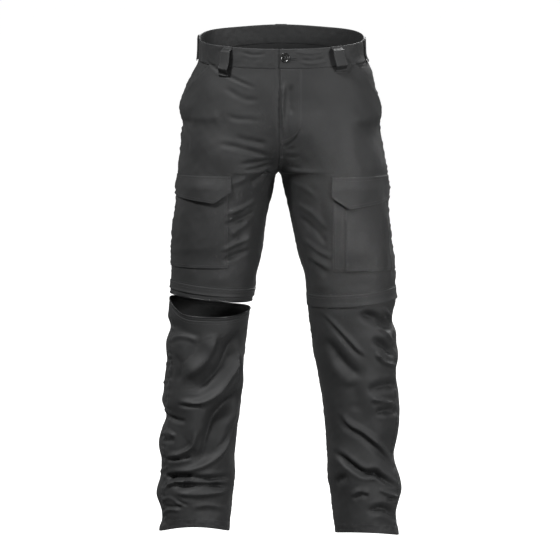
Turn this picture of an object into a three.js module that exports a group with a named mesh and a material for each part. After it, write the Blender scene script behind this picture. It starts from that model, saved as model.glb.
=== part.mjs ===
import * as THREE from 'three';

// Zip off trousers, worn form with no wearer in them. Millimetres, +Z up, the front faces -Y.
// The wearer's right leg is at -X. The origin is the middle of the waist.
//
// Each half is one surface in its own frame: u runs outward from the centre (x = -u on the
// right, x = u on the left), and q runs round the half: 0 at the outermost side, +1 at the
// inner end of the front, -1 at the inner end of the back. Above the crotch the inner end is
// the centre seam, below it the inseam.

/** Walls, gaps and lifts, mm. */
const CLOTH = 1.6;
const BAND_OUT = 0.8;
const BAND_TALL = 42;
const SEAM = 0.3;
const TAPE = 1.0;
const COVER = 1.2;
const COVER_TALL = 26;
const PATCH = 1.6;

/** Where the photograph was taken from: height over z = 0, distance in front. */
const EYE = { z: 213, far: 8250 };

/** Crotch height and the depth at which the inseam runs there. */
const CROTCH = -278;
const ROWS_ABOVE = 14;
const ROWS_BELOW = 13;
const COLS = 13;
const SHIN_ROWS = 25;

/** Rows of a table as objects with named columns. */
const names = (columns, rows) => rows.map((row) =>
  Object.fromEntries(columns.map((name, i) => [name, row[i]])));

/** Front, back and side seam depth of the body at each height. */
const DEPTHS = names(['z', 'front', 'back', 'side'], [
  [34, -100, 104, 2], [-17, -104, 110, 3], [-60, -108, 122, 5], [-110, -112, 140, 8],
  [-160, -114, 149, 10], [-210, -115, 146, 10], [-250, -115, 136, 8], [-278, -114, 128, 6],
  [-330, -110, 117, 4], [-400, -103, 107, 2], [-470, -96, 99, 1], [-535, -92, 94, 0],
  [-620, -89, 85, -1], [-700, -86, 90, 2], [-780, -80, 97, 6], [-860, -76, 92, 7],
  [-940, -74, 84, 5], [-1000, -73, 80, 3], [-1060, -74, 78, 2],
]);

/** Outermost reach of each half at each height, as the outline of the photograph shows. */
const OUTER = {
  right: names(['z', 'u'], [
    [34, 173], [-43, 175.5], [-68, 188], [-94, 201], [-120, 210], [-139, 214], [-158, 212],
    [-171, 207.6], [-190, 211], [-242, 216], [-287, 220.4], [-338, 224.7], [-400, 230],
    [-467, 233], [-531, 235.4], [-582, 239.7], [-608, 233], [-633, 244], [-653, 246],
    [-678, 244], [-706, 247], [-749, 252.5], [-769, 254.7], [-800, 246], [-826, 254.7],
    [-865, 261], [-894, 256.8], [-929, 256.8], [-967, 265], [-993, 259], [-1019, 256.8],
    [-1060, 263],
  ]),
  left: names(['z', 'u'], [
    [34, 175], [-17, 176], [-34, 178], [-50, 187], [-68, 194.5], [-94, 199], [-120, 207.6], [-158, 214],
    [-184, 209.7], [-235, 218], [-274, 224.7], [-338, 227], [-415, 233], [-454, 239.7],
    [-531, 244], [-556, 244], [-595, 237.5], [-621, 246], [-646, 246], [-672, 250],
    [-702, 248], [-755, 252.5], [-826, 250], [-877, 242], [-903, 246], [-929, 252.5],
    [-961, 256.8], [-987, 252.5], [-1012, 248], [-1060, 252.5],
  ]),
};

/** Inner reach of each leg below the crotch. */
const INNER = {
  right: names(['z', 'u'], [
    [-278, 5], [-287, 13], [-312, 19], [-338, 23.5], [-377, 30], [-441, 40.7], [-505, 51],
    [-571, 66], [-640, 76], [-736, 81], [-775, 85.6], [-826, 94], [-877, 101], [-929, 99],
    [-954, 100.6], [-993, 107], [-1060, 112],
  ]),
  left: names(['z', 'u'], [
    [-278, -5], [-287, 1], [-312, 7], [-338, 12.8], [-364, 17], [-428, 32], [-505, 51],
    [-569, 58], [-608, 62], [-646, 69], [-698, 77], [-749, 85.6], [-800, 92], [-852, 97],
    [-929, 100.6], [-980, 108], [-1060, 118],
  ]),
};

/** Heights of each edge at the outside, front, inside and back of a leg. */
const EDGES = {
  shortsHemRight: { outer: -533, front: -544, inner: -550, back: -545 },
  shinRimRight: { outer: -548, front: -581, inner: -571, back: -565 },
  coverFootLeft: { outer: -546, front: -559, inner: -561, back: -552 },
  hemRight: { outer: -1048, front: -1030, inner: -1048, back: -1044 },
  hemLeft: { outer: -1057, front: -1042, inner: -1052, back: -1058 },
};

/** Folds that stand in the solids: three points as seen, depth (minus is a ridge), width. */
const FOLDS = names(['side', 'face', 'u0', 'z0', 'u1', 'z1', 'u2', 'z2', 'deep', 'wide'], [
  ['right', 1, 78, -596, 138, -662, 192, -736, 7, 18],
  ['right', 1, 80, -650, 116, -734, 205, -768, -3, 12],
  ['right', 1, 92, -768, 150, -832, 240, -893, 7, 17],
  ['right', 1, 109, -812, 133, -892, 240, -918, -3, 12],
  ['right', 1, 252, -936, 215, -937, 160, -934, 7, 11],
  ['right', 1, 245, -960, 175, -960, 106, -952, 7, 11],
  ['right', 1, 245, -1000, 222, -996, 195, -992, 2.5, 10],
  ['left', 1, 70, -574, 130, -633, 182, -676, 3.5, 10],
  ['left', 1, 86, -612, 124, -678, 203, -726, 6.5, 17],
  ['left', 1, 197, -636, 222, -644, 242, -668, 4, 11],
  ['left', 1, 192, -659, 220, -682, 246, -697, -3, 10],
  ['left', 1, 120, -787, 188, -850, 234, -918, 6.5, 14],
  ['left', 1, 109, -880, 180, -926, 250, -955, 7, 13],
  ['left', 1, 182, -1006, 222, -998, 248, -1014, 3, 10],
  ['right', 1, 96, -205, 62, -214, 22, -226, 2.5, 10],
  ['right', 1, 96, -262, 58, -262, 24, -256, 2.5, 10],
  ['left', 1, 62, -236, 40, -246, 14, -250, 2, 9],
  ['right', -1, 60, -300, 110, -338, 170, -352, 3, 15],
  ['left', -1, 55, -305, 110, -330, 165, -362, 3, 15],
  ['right', -1, 228, -632, 170, -668, 96, -676, 4, 14],
  ['right', -1, 235, -742, 165, -716, 98, -728, 4.5, 15],
  ['right', -1, 240, -862, 180, -830, 108, -800, 4, 14],
  ['right', -1, 246, -944, 190, -948, 116, -930, 4.5, 12],
  ['left', -1, 232, -640, 160, -684, 84, -670, 4, 14],
  ['left', -1, 240, -742, 175, -732, 100, -760, 4.5, 15],
  ['left', -1, 236, -846, 170, -868, 108, -846, 4, 14],
  ['left', -1, 244, -950, 180, -930, 116, -962, 4.5, 12],
]);

const clamp = (x, a = 0, b = 1) => Math.min(b, Math.max(a, x));
const mix = (a, b, t) => a + (b - a) * t;
const smooth = (a, b, x) => { const t = clamp((x - a) / (b - a)); return t * t * (3 - 2 * t); };
const add = (p, n, s) => p.map((c, i) => c + n[i] * s);
const cross = (a, b) => [a[1] * b[2] - a[2] * b[1], a[2] * b[0] - a[0] * b[2], a[0] * b[1] - a[1] * b[0]];
const unit = (v) => { const l = Math.hypot(...v) || 1; return v.map((c) => c / l); };
const gapOf = (a, b) => Math.hypot(a[0] - b[0], a[1] - b[1], a[2] - b[2]);

/** Smooth curve through a table's rows, by the slopes of neighbouring rows. */
function along(rows, key, z) {
  const last = rows.length - 1;
  if (z >= rows[0].z) return rows[0][key];
  if (z <= rows[last].z) return rows[last][key];
  let i = 0;
  while (rows[i + 1].z > z) i += 1;
  const slope = (k) => {
    const a = rows[Math.max(k - 1, 0)];
    const b = rows[Math.min(k + 1, last)];
    return (b[key] - a[key]) / (b.z - a.z);
  };
  const span = rows[i + 1].z - rows[i].z;
  const t = (z - rows[i].z) / span;
  const t2 = t * t;
  const t3 = t2 * t;
  return (2 * t3 - 3 * t2 + 1) * rows[i][key] + (t3 - 2 * t2 + t) * span * slope(i)
    + (3 * t2 - 2 * t3) * rows[i + 1][key] + (t3 - t2) * span * slope(i + 1);
}

/** Height of an edge at q, by its four named heights. */
function edgeZ(edge, q) {
  const { outer, front, inner, back } = edge;
  return (outer + front + inner + back) / 4 + ((outer - inner) / 2) * Math.cos(Math.PI * q)
    + ((front - back) / 2) * Math.sin(Math.PI * q)
    + ((outer + inner - front - back) / 4) * Math.cos(2 * Math.PI * q);
}

/** Rim of the waist: low at the front, high at the back. */
function rimZ(q) {
  const turn = (Math.PI / 2) * (1 + q);
  return 6.25 + 23.5 * Math.cos(turn) + 2.25 * Math.cos(2 * turn);
}

/** Fraction of the full depth the centre seam keeps at a height, 1 at the waist, 0 at the crotch. */
function seamKeep(front, z) {
  const start = front ? -120 : -90;
  const power = front ? 3 : 2.6;
  const t = clamp((start - z) / (start - CROTCH));
  return (1 - t ** power) ** (1 / power);
}

const HALF_STEPS = 48;
const sections = new Map();

/** One horizontal section of a half: its arc, front and back, measured for even spacing. */
function section(side, z) {
  const key = `${side}${z.toFixed(3)}`;
  if (sections.has(key)) return sections.get(key);
  const depth = { 1: along(DEPTHS, 'front', z), [-1]: along(DEPTHS, 'back', z) };
  const sideY = along(DEPTHS, 'side', z);
  const outer = along(OUTER[side], 'u', z);
  const seamX = -5 * smooth(-150, CROTCH, z) * (side === 'right' ? -1 : 1);
  const inner = z > CROTCH ? seamX : along(INNER[side], 'u', z);
  const mid = (outer + inner) / 2;
  const apex = z > CROTCH ? mix(seamX, mid, smooth(-40, CROTCH, z)) : mid;
  const power = mix(2.3, 2, smooth(0, -300, z));
  const midY = 14 * smooth(-200, CROTCH, z) - 12 * smooth(-300, -600, z);
  const spot = (face, w) => {
    const y = depth[face];
    if (w <= 1) {
      const turn = (w * Math.PI) / 2;
      return [apex + (outer - apex) * Math.max(Math.cos(turn), 0) ** (2 / power),
        sideY + (y - sideY) * Math.sin(turn) ** (2 / power)];
    }
    const v = w - 1;
    const keep = z > CROTCH ? seamKeep(face > 0, z) : 0;
    const blend = smooth(0.15, 0.75, keep);
    const low = Math.asin(Math.min(keep, 0.98));
    const turn = Math.PI / 2 - v * (Math.PI / 2 - low);
    const across = mix(Math.cos(turn) / Math.cos(low), v, blend);
    const level = mix(Math.sin(turn), keep + (1 - keep) * (0.5 + 0.5 * Math.cos(Math.PI * v)), blend);
    return [apex + (inner - apex) * across, midY + (y - midY) * level];
  };
  const made = { spot, arcs: {}, length: {} };
  for (const face of [1, -1]) {
    const sums = [0];
    let last = spot(face, 0);
    for (let i = 1; i <= 2 * HALF_STEPS; i += 1) {
      const next = spot(face, i / HALF_STEPS);
      sums.push(sums[i - 1] + Math.hypot(next[0] - last[0], next[1] - last[1]));
      last = next;
    }
    made.arcs[face] = sums;
    made.length[face] = sums[sums.length - 1];
  }
  sections.set(key, made);
  return made;
}

/** Length of cloth from the outermost side to the inner end, at a height. */
const reach = (side, face, z) => section(side, z).length[face];

/** Point of the smooth form, in the half's own frame. */
function form(side, q, z) {
  const face = q < 0 ? -1 : 1;
  const cut = section(side, z);
  const sums = cut.arcs[face];
  const want = clamp(Math.abs(q)) * cut.length[face];
  let lo = 0;
  let hi = sums.length - 1;
  while (hi - lo > 1) {
    const m = (lo + hi) >> 1;
    if (sums[m] <= want) lo = m; else hi = m;
  }
  const part = (want - sums[lo]) / (sums[hi] - sums[lo] || 1);
  const [u, y] = cut.spot(face, (lo + clamp(part)) / HALF_STEPS);
  return [u, y, z];
}

/** Outward direction of the smooth form. */
function outward(side, q, z) {
  const step = 3 / reach(side, q < 0 ? -1 : 1, z);
  const at = clamp(q, -1 + step, 1 - step);
  const end = Math.abs(q) > 1 - step;
  if (end && Math.abs(z - CROTCH) < 4) return unit([-1, 0, -0.7]);
  const dz = z > CROTCH ? Math.min(3, (z - CROTCH) * 0.8) : 3;
  const up = form(side, at, z + dz).map((c, i) => c - form(side, at, z - dz)[i]);
  const on = form(side, at + step, z).map((c, i) => c - form(side, at - step, z)[i]);
  const n = unit(cross(up, on));
  if (end && z <= CROTCH) n[1] = 0;
  return unit(n);
}

/** The q at which a face is seen at a given u. */
function faceQ(side, face, u, z) {
  let lo = 0;
  let hi = 1;
  for (let i = 0; i < 24; i += 1) {
    const m = (lo + hi) / 2;
    if (form(side, face * m, z)[0] > u) lo = m; else hi = m;
  }
  return face * lo;
}

/** Height that a spot seen on a face really has, looked down on by the camera. */
function seenZ(side, face, u, z) {
  const y = form(side, faceQ(side, face, u, z), z)[1];
  return face > 0 ? z + (Math.abs(y) * (EYE.z - z)) / EYE.far : z;
}

/** Side seam: a little in front of the outermost side. */
const sideSeam = (side, z) => 0.03 + (side === 'right' ? 0.13 : 0.09) * smooth(-380, -760, z);

/** Top and foot of the zip's zone on a leg, and the hem. */
const zipTop = (side, q) => (side === 'right'
  ? edgeZ(EDGES.shortsHemRight, q) : edgeZ(EDGES.coverFootLeft, q)) + COVER_TALL;
const zipFoot = (side, q) => (side === 'right'
  ? edgeZ(EDGES.shinRimRight, q) - 22 : edgeZ(EDGES.coverFootLeft, q) - 3);
const hemZ = (side, q) => edgeZ(side === 'right' ? EDGES.hemRight : EDGES.hemLeft, q);

/** How far folds may rise at a spot: none at seams that hold the cloth flat. */
function freedom(side, q, z) {
  const face = q < 0 ? -1 : 1;
  const inner = (1 - Math.abs(q)) * reach(side, face, z);
  const band = smooth(0, 25, rimZ(q) - BAND_TALL - z);
  const zip = z > (zipTop(side, q) + zipFoot(side, q)) / 2
    ? smooth(2, 22, z - zipTop(side, q)) : smooth(2, 20, zipFoot(side, q) - z);
  const hem = smooth(4, 26, z - hemZ(side, q));
  return band * zip * hem * (z > CROTCH - 10 ? smooth(2, 20, inner) : 1);
}

/** Fold paths laid on the form once, as points in space. */
const CREASES = FOLDS.map((fold) => {
  const path = [];
  for (let i = 0; i <= 20; i += 1) {
    const t = i / 20;
    const w = [(1 - t) * (1 - 2 * t), 4 * t * (1 - t), t * (2 * t - 1)];
    const u = w[0] * fold.u0 + w[1] * fold.u1 + w[2] * fold.u2;
    const z = w[0] * fold.z0 + w[1] * fold.z1 + w[2] * fold.z2;
    const up = seenZ(fold.side, fold.face, u, z);
    path.push(form(fold.side, faceQ(fold.side, fold.face, u, up), up));
  }
  return { ...fold, path };
});

/** Rise of the cloth off the smooth form, by its folds. */
function foldRise(side, q, z, p) {
  let rise = 0;
  for (const fold of CREASES) {
    if (fold.side !== side || Math.abs(p[2] - fold.path[10][2]) > 120) continue;
    let best = 1e9;
    let where = 0;
    fold.path.forEach((c, i) => {
      const d = gapOf(c, p);
      if (d < best) { best = d; where = i / 20; }
    });
    const ends = smooth(0, 0.25, where) * smooth(0, 0.2, 1 - where) * 0.85 + 0.15;
    const d = best / fold.wide;
    rise += fold.deep * ends * (0.35 * Math.exp(-((d - 1.7) ** 2)) - Math.exp(-d * d));
  }
  return rise * freedom(side, q, z);
}

/** Opening of the slanted hand pocket: how far in front of the side seam its mouth lies. */
const mouthWide = (z) => 62 * (1 - smooth(-46, -171, z) * 0.35) * clamp((z + 171) / 114, 0, 1.2);
const mouthLift = (side, q, z) => {
  if (q < 0 || z < -171) return 0;
  const off = (q - sideSeam(side, z)) * reach(side, 1, z) - mouthWide(z);
  return 2.6 * smooth(-48, -90, z) * smooth(-171, -120, z) * smooth(34, 0, Math.abs(off));
};

/** Point of the cloth, lifted off its outer face, in the world. */
function cloth(side, q, z, lift = 0, mouth = false) {
  const p = form(side, q, z);
  const rise = foldRise(side, q, z, p) + (mouth ? mouthLift(side, q, z) : 0);
  const [u, y, h] = add(p, outward(side, q, z), rise + lift);
  const x = u + SEAM / 2;
  return [side === 'right' ? -x : x, y, h];
}

/** A closed sheet with an outer and an inner face: a strip, a patch, a panel or a ring. */
function sheet(cols, rows, outer, inner, ring = false) {
  const points = [];
  for (const face of [outer, inner]) {
    for (let j = 0; j < rows; j += 1) {
      for (let i = 0; i < cols; i += 1) points.push(...face(i, j));
    }
  }
  const at = (layer, i, j) => layer * cols * rows + j * cols + (i % cols);
  const index = [];
  const quad = (a, b, c, d) => index.push(a, b, d, b, c, d);
  const spans = ring ? cols : cols - 1;
  for (let j = 0; j < rows - 1; j += 1) {
    for (let i = 0; i < spans; i += 1) {
      quad(at(0, i, j), at(0, i + 1, j), at(0, i + 1, j + 1), at(0, i, j + 1));
      quad(at(1, i, j), at(1, i, j + 1), at(1, i + 1, j + 1), at(1, i + 1, j));
    }
  }
  for (let i = 0; i < spans; i += 1) {
    quad(at(1, i, 0), at(1, i + 1, 0), at(0, i + 1, 0), at(0, i, 0));
    quad(at(0, i, rows - 1), at(0, i + 1, rows - 1), at(1, i + 1, rows - 1), at(1, i, rows - 1));
  }
  if (!ring) {
    for (let j = 0; j < rows - 1; j += 1) {
      quad(at(0, 0, j), at(0, 0, j + 1), at(1, 0, j + 1), at(1, 0, j));
      quad(at(1, cols - 1, j), at(1, cols - 1, j + 1), at(0, cols - 1, j + 1), at(0, cols - 1, j));
    }
  }
  let volume = 0;
  for (let k = 0; k < index.length; k += 3) {
    const [a, b, c] = [0, 1, 2].map((n) => points.slice(index[k + n] * 3, index[k + n] * 3 + 3));
    volume += a[0] * (b[1] * c[2] - b[2] * c[1]) - a[1] * (b[0] * c[2] - b[2] * c[0])
      + a[2] * (b[0] * c[1] - b[1] * c[0]);
  }
  if (volume < 0) index.reverse();
  const geometry = new THREE.BufferGeometry();
  geometry.setAttribute('position', new THREE.Float32BufferAttribute(points, 3));
  geometry.setIndex(index);
  return geometry;
}

const group = new THREE.Group();
const FINISHES = {
  twill: { color: 0x232527, roughness: 0.9 },
  tape: { color: 0x17181a, roughness: 0.8 },
  horn: { color: 0x141414, roughness: 0.35 },
};

/** Adds one named mesh with its own material. */
function put(name, geometry, finish = 'twill') {
  geometry.computeVertexNormals();
  const mesh = new THREE.Mesh(geometry, new THREE.MeshStandardMaterial(FINISHES[finish]));
  mesh.name = name;
  group.add(mesh);
}

const SIDES = ['right', 'left'];
const FACES = { front: 1, back: -1 };

/** Inner end heights of a shorts panel, row by row, with one row at the crotch. */
function innerHeights(side, face, top, foot) {
  const steps = 60;
  const evenly = (heightAt, count) => {
    const spots = Array.from({ length: steps + 1 }, (_, i) => form(side, face, heightAt(i / steps)));
    const sums = [0];
    for (let i = 1; i <= steps; i += 1) sums.push(sums[i - 1] + gapOf(spots[i - 1], spots[i]));
    return Array.from({ length: count + 1 }, (_, j) => {
      const want = (sums[steps] * j) / count;
      let i = 1;
      while (i < steps && sums[i] < want) i += 1;
      const part = (want - sums[i - 1]) / (sums[i] - sums[i - 1]);
      return heightAt(Math.min((i - 1 + part) / steps, 1));
    });
  };
  const above = evenly((t) => mix(CROTCH, top, (1 - t) ** 2.2), ROWS_ABOVE);
  const below = evenly((t) => mix(CROTCH, foot, t ** 0.7), ROWS_BELOW);
  return [...above, ...below.slice(1)];
}

/** A panel of cloth between the side seam and the inner end. */
function panel({ side, face, top, foot, rows, inner = null, mouth = false }) {
  const spot = (i, j) => {
    const a = i / (COLS - 1);
    let q = face * a;
    let z = -300;
    for (let turn = 0; turn < 4; turn += 1) {
      const high = top(q);
      const low = foot(q);
      const even = j / (rows - 1);
      const bent = inner ? (high - clamp(inner[j], low, high)) / (high - low) : even;
      z = mix(high, low, mix(even, bent, inner ? a ** 1.5 : 0));
      if (inner && i === COLS - 1) z = inner[j];
      const long = reach(side, face, z);
      const seam = sideSeam(side, z);
      const shy = SEAM / 2 / long;
      const start = face > 0
        ? seam + (mouth && z > -171 ? mouthWide(z) / long : 0) + shy
        : -seam + shy;
      const end = z > CROTCH + 0.01 ? 1 : 1 - shy;
      q = face * mix(start, end, a);
    }
    return [q, z];
  };
  return sheet(COLS, rows,
    (i, j) => cloth(side, ...spot(i, j), 0, mouth),
    (i, j) => cloth(side, ...spot(i, j), -CLOTH, mouth));
}

const bandFoot = (q) => rimZ(q) - BAND_TALL;

for (const side of SIDES) {
  const shortsFoot = side === 'right'
    ? (q) => edgeZ(EDGES.shortsHemRight, q) + 3
    : (q) => edgeZ(EDGES.coverFootLeft, q) + 13;
  const shinTop = side === 'right'
    ? (q) => edgeZ(EDGES.shinRimRight, q) - 9
    : (q) => edgeZ(EDGES.coverFootLeft, q) + 9;
  for (const [label, face] of Object.entries(FACES)) {
    const top = (q) => bandFoot(q) - SEAM;
    const inner = innerHeights(side, face, top(face), shortsFoot(face));
    put(`${label}_${side}`, panel({
      side, face, top, foot: shortsFoot, rows: ROWS_ABOVE + ROWS_BELOW + 1, inner, mouth: face > 0,
    }));
    put(`lower_${label}_${side}`, panel({
      side, face, top: shinTop, foot: (q) => hemZ(side, q), rows: SHIN_ROWS,
    }));
  }
}

/** Columns that go all round a leg in step with its two panels. */
function ringQ(side, i, z) {
  const seam = sideSeam(side, z);
  const turns = COLS - 1;
  return i <= turns ? mix(-1, seam, i / turns) : mix(seam, 1, (i - turns) / turns);
}

/** A strip of cloth or tape all round a leg. */
function ringStrip(side, top, foot, rows, lift, thick) {
  const spot = (i, j) => {
    const flat = ringQ(side, i, foot(0));
    const z = mix(top(flat), foot(flat), j / (rows - 1));
    return [ringQ(side, i, z), z];
  };
  return sheet(2 * (COLS - 1), rows,
    (i, j) => cloth(side, ...spot(i, j), lift + thick),
    (i, j) => cloth(side, ...spot(i, j), lift), true);
}

const coverTop = (side) => (q) => zipTop(side, q);
const coverFoot = (side) => (q) => zipTop(side, q) - COVER_TALL;
for (const side of SIDES) {
  put(`zip_cover_${side}`, ringStrip(side, coverTop(side), coverFoot(side), 3, 0.5, COVER));
}
const tapeIn = -CLOTH - 1.1 - TAPE;
put('zip_tape_upper_right', ringStrip('right',
  (q) => edgeZ(EDGES.shortsHemRight, q) + 13, (q) => edgeZ(EDGES.shortsHemRight, q) - 2.5,
  2, tapeIn, TAPE), 'tape');
put('zip_tape_lower_right', ringStrip('right',
  (q) => edgeZ(EDGES.shinRimRight, q), (q) => edgeZ(EDGES.shinRimRight, q) - 19,
  3, tapeIn, TAPE), 'tape');
put('zip_tape_left', ringStrip('left',
  (q) => edgeZ(EDGES.coverFootLeft, q) + 25, (q) => edgeZ(EDGES.coverFootLeft, q) - 3,
  3, tapeIn, TAPE), 'tape');

/** Waistband halves, joined at the front by the button and sewn at the back. */
for (const side of SIDES) {
  const cols = 25;
  const rows = 4;
  const spot = (i, j) => {
    const q = mix(-1, 1, i / (cols - 1));
    return [q, mix(rimZ(q), bandFoot(q), j / (rows - 1))];
  };
  put(`waistband_${side}`, sheet(cols, rows,
    (i, j) => cloth(side, ...spot(i, j), BAND_OUT),
    (i, j) => cloth(side, ...spot(i, j), -CLOTH)));
}

/** A strip that stands off the band for a belt, sewn down at both ends. */
function beltLoop(name, place, wide, stand, drop) {
  const cols = 4;
  const rows = 15;
  const spot = (i, j, lift) => {
    const t = j / (rows - 1);
    const off = mix(-wide / 2, wide / 2, i / (cols - 1));
    const bow = smooth(0.05, 0.2, t) * smooth(0.05, 0.2, 1 - t);
    const [side, q] = place(off);
    const z = mix(rimZ(q) - 3, bandFoot(q) - drop, t);
    return cloth(side, q, z, BAND_OUT + 0.5 + stand * bow + lift);
  };
  put(name, sheet(cols, rows, (i, j) => spot(i, j, PATCH), (i, j) => spot(i, j, 0)));
}

/** Belt loops by half, place, width, how far they stand off and how far below the band they reach. */
const LOOPS = names(['name', 'side', 'u', 'q', 'wide', 'stand', 'drop'], [
  ['belt_loop_front_right', 'right', 111, null, 25, 12, 20],
  ['belt_loop_front_left', 'left', 123, null, 26, 13, 11],
  ['belt_loop_side_right', 'right', null, -0.04, 25, 9.5, 5],
  ['belt_loop_side_left', 'left', null, 0.04, 25, 9.5, 5],
]);
for (const loop of LOOPS) {
  const mid = loop.q ?? faceQ(loop.side, 1, loop.u, -40);
  beltLoop(loop.name, (off) => [loop.side, mid + off / reach(loop.side, Math.sign(mid), -40)],
    loop.wide, loop.stand, loop.drop);
}
beltLoop('belt_loop_back', (off) => {
  const side = off < 0 ? 'right' : 'left';
  return [side, -1 + Math.abs(off) / reach(side, -1, 0)];
}, 25, 9.5, 12);

/** A patch on one half between two q edges and two heights, bowed a little. */
function patch({ name, side, cols, rows, edge, lift, thick = PATCH }) {
  const spot = (i, j, more) => {
    const [q, z] = edge(i / (cols - 1), j / (rows - 1));
    return cloth(side, q, z, lift(i / (cols - 1), j / (rows - 1), q, z) + more);
  };
  put(name, sheet(cols, rows, (i, j) => spot(i, j, thick), (i, j) => spot(i, j, 0)));
}

/** Cargo pockets: front edge at u, 20 mm past the outermost side at the back. */
const CARGO = {
  right: { u: 112, top: -306, foot: -477, flapU: 105, flapTop: -282, flapFoot: -335 },
  left: { u: 109, top: -310, foot: -484, flapU: 107, flapTop: -284, flapFoot: -343 },
};
const CARGO_BACK = 20;
const CHAMFER = 26;

for (const side of SIDES) {
  const size = CARGO[side];
  const span = (u, a, z) => mix(faceQ(side, 1, u, z), -CARGO_BACK / reach(side, -1, z), a);
  patch({
    name: `cargo_pocket_${side}`, side, cols: 11, rows: 9,
    edge: (a, f) => {
      const z = mix(size.top, size.foot, f);
      return [span(size.u, a, z), z];
    },
    lift: (a, f) => 1.0 + 2.2 * Math.sin(Math.PI * a) ** 0.7 * Math.sin(Math.PI * f * 0.94) ** 0.8,
  });
  patch({
    name: `cargo_flap_${side}`, side, cols: 11, rows: 5,
    edge: (a, f) => {
      const cut = CHAMFER * Math.max(0, 1 - Math.min(a, 1 - a) / 0.17);
      const z = mix(size.flapTop, size.flapFoot + cut, f);
      return [span(size.flapU, a, z), z];
    },
    lift: (a, f, q, z) => 1.0 + 6.2 * smooth(0, 0.55, (size.flapTop - z) / 55)
      + 1.5 * smooth(0.5, 1, (size.flapTop - z) / 55),
  });
}

/** Facing seen in the mouth of each hand pocket, under the front panel. */
for (const side of SIDES) {
  const cols = 5;
  patch({
    name: `hand_pocket_facing_${side}`, side, cols, rows: 8, thick: CLOTH,
    edge: (a, f) => {
      let q = 0.1;
      let z = -60;
      for (let turn = 0; turn < 3; turn += 1) {
        z = mix(bandFoot(q) - SEAM, -168, f);
        const long = reach(side, 1, z);
        q = sideSeam(side, z) + (SEAM / 2 + a * (mouthWide(z) + 14)) / long;
      }
      return [q, z];
    },
    lift: (a, f, q, z) => {
      const wide = mouthWide(z);
      const under = Math.max(smooth(0, 0.6, (a * (wide + 14)) / (wide + 1)), smooth(24, 8, wide));
      return -CLOTH - (CLOTH + 1.3) * under;
    },
  });
}

/** Fly: a sheet with a curved foot on the left front, edge on the centre seam. */
patch({
  name: 'fly', side: 'left', cols: 7, rows: 12, thick: 1.2,
  edge: (a, f) => {
    const foot = -160 - 54 * Math.sqrt(1 - a * a);
    const z = mix(bandFoot(1) - SEAM, foot, f);
    return [1 - (a * 46) / reach('left', 1, z), z];
  },
  lift: () => 0.7,
});

/** Four hole button through the left end of the band. */
const BUTTON = { u: 8.6, z: -33, radius: 9.6, thick: 3.2, hole: 1.0, spread: 2.3 };
{
  const disc = new THREE.Shape().absarc(0, 0, BUTTON.radius - 0.7, 0, 2 * Math.PI, false);
  for (const [a, b] of [[1, 1], [-1, 1], [-1, -1], [1, -1]]) {
    disc.holes.push(new THREE.Path().absarc(a * BUTTON.spread, b * BUTTON.spread, BUTTON.hole,
      0, 2 * Math.PI, true));
  }
  const geometry = new THREE.ExtrudeGeometry(disc, {
    depth: BUTTON.thick - 1.2, curveSegments: 9, bevelEnabled: true, bevelThickness: 0.6,
    bevelSize: 0.7, bevelSegments: 1,
  });
  geometry.rotateX(Math.PI / 2);
  const seat = cloth('left', faceQ('left', 1, BUTTON.u, BUTTON.z), BUTTON.z, BAND_OUT + 0.6);
  geometry.translate(seat[0], seat[1] - 0.9, seat[2]);
  put('waist_button', geometry, 'horn');
}

export default group;
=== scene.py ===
"""Zip off trousers in dark twill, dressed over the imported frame.

Sizes are millimetres until a mesh is made, then metres. The wearer's right leg is at -X, the
front faces -Y, and the origin is the middle of the waist. Each half is one surface in its own
frame: u runs outward from the centre, and q runs round it, 0 at the outermost side, +1 at the
inner end of the front and -1 at the inner end of the back.
"""
import logging
import math
from collections.abc import Callable, Sequence
from dataclasses import dataclass, field
from enum import Enum

import bpy
import numpy as np
from mathutils import Matrix, Vector


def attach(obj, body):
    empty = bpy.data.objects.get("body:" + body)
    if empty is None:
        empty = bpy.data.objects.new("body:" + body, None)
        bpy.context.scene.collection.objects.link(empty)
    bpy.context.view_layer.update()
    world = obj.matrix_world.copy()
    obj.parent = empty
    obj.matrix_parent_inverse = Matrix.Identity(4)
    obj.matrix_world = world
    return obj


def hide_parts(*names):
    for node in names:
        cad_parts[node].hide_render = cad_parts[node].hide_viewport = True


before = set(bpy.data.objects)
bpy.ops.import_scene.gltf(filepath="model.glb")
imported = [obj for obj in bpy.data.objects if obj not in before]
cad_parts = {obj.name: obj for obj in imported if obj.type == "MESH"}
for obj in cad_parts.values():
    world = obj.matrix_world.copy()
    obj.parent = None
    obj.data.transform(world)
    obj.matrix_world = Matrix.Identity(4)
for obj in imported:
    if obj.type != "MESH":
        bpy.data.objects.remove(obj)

log = logging.getLogger("trousers")
Array = np.ndarray

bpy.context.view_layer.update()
MM = 0.001
CROTCH = -278.0
BAND_TALL = 42.0
COVER_TALL = 26.0
MOUTH_FOOT = -171.0
MOUTH_WIDE = 62.0
FLY_WIDE = 46.0
FLY_BEND = -160.0
FLY_FOOT = -214.0
WALL = 1.3

# How far stitches lie off the cloth, on a felled lap and off one.
ON_LAP = 0.62
ON_CLOTH = 0.05

# The camera as it sees the front: its height and distance, the size of a pixel of the 560 px
# frame at the trousers, the column of their middle and the row of the waist.
EYE_HEIGHT = 213.0
EYE_FAR = 8250.0
PIXEL = 2.14
MIDDLE_PX = 281.0
WAIST_PX = 42.0


class Side(Enum):
    """The wearer's right or left, with the sign of its x."""

    RIGHT = -1
    LEFT = 1


class Face(Enum):
    """Front or back of a half, with the sign of its q."""

    FRONT = 1
    BACK = -1


class Kind(Enum):
    """What a fold is in section."""

    TROUGH = "trough"
    RIDGE = "ridge"
    LIP = "lip"


def smooth(start: float, end: float, x: Array) -> Array:
    """Soft step of x from 0 at start to 1 at end."""
    t = np.clip((np.asarray(x, float) - start) / (end - start), 0, 1)
    return t * t * (3 - 2 * t)


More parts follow.
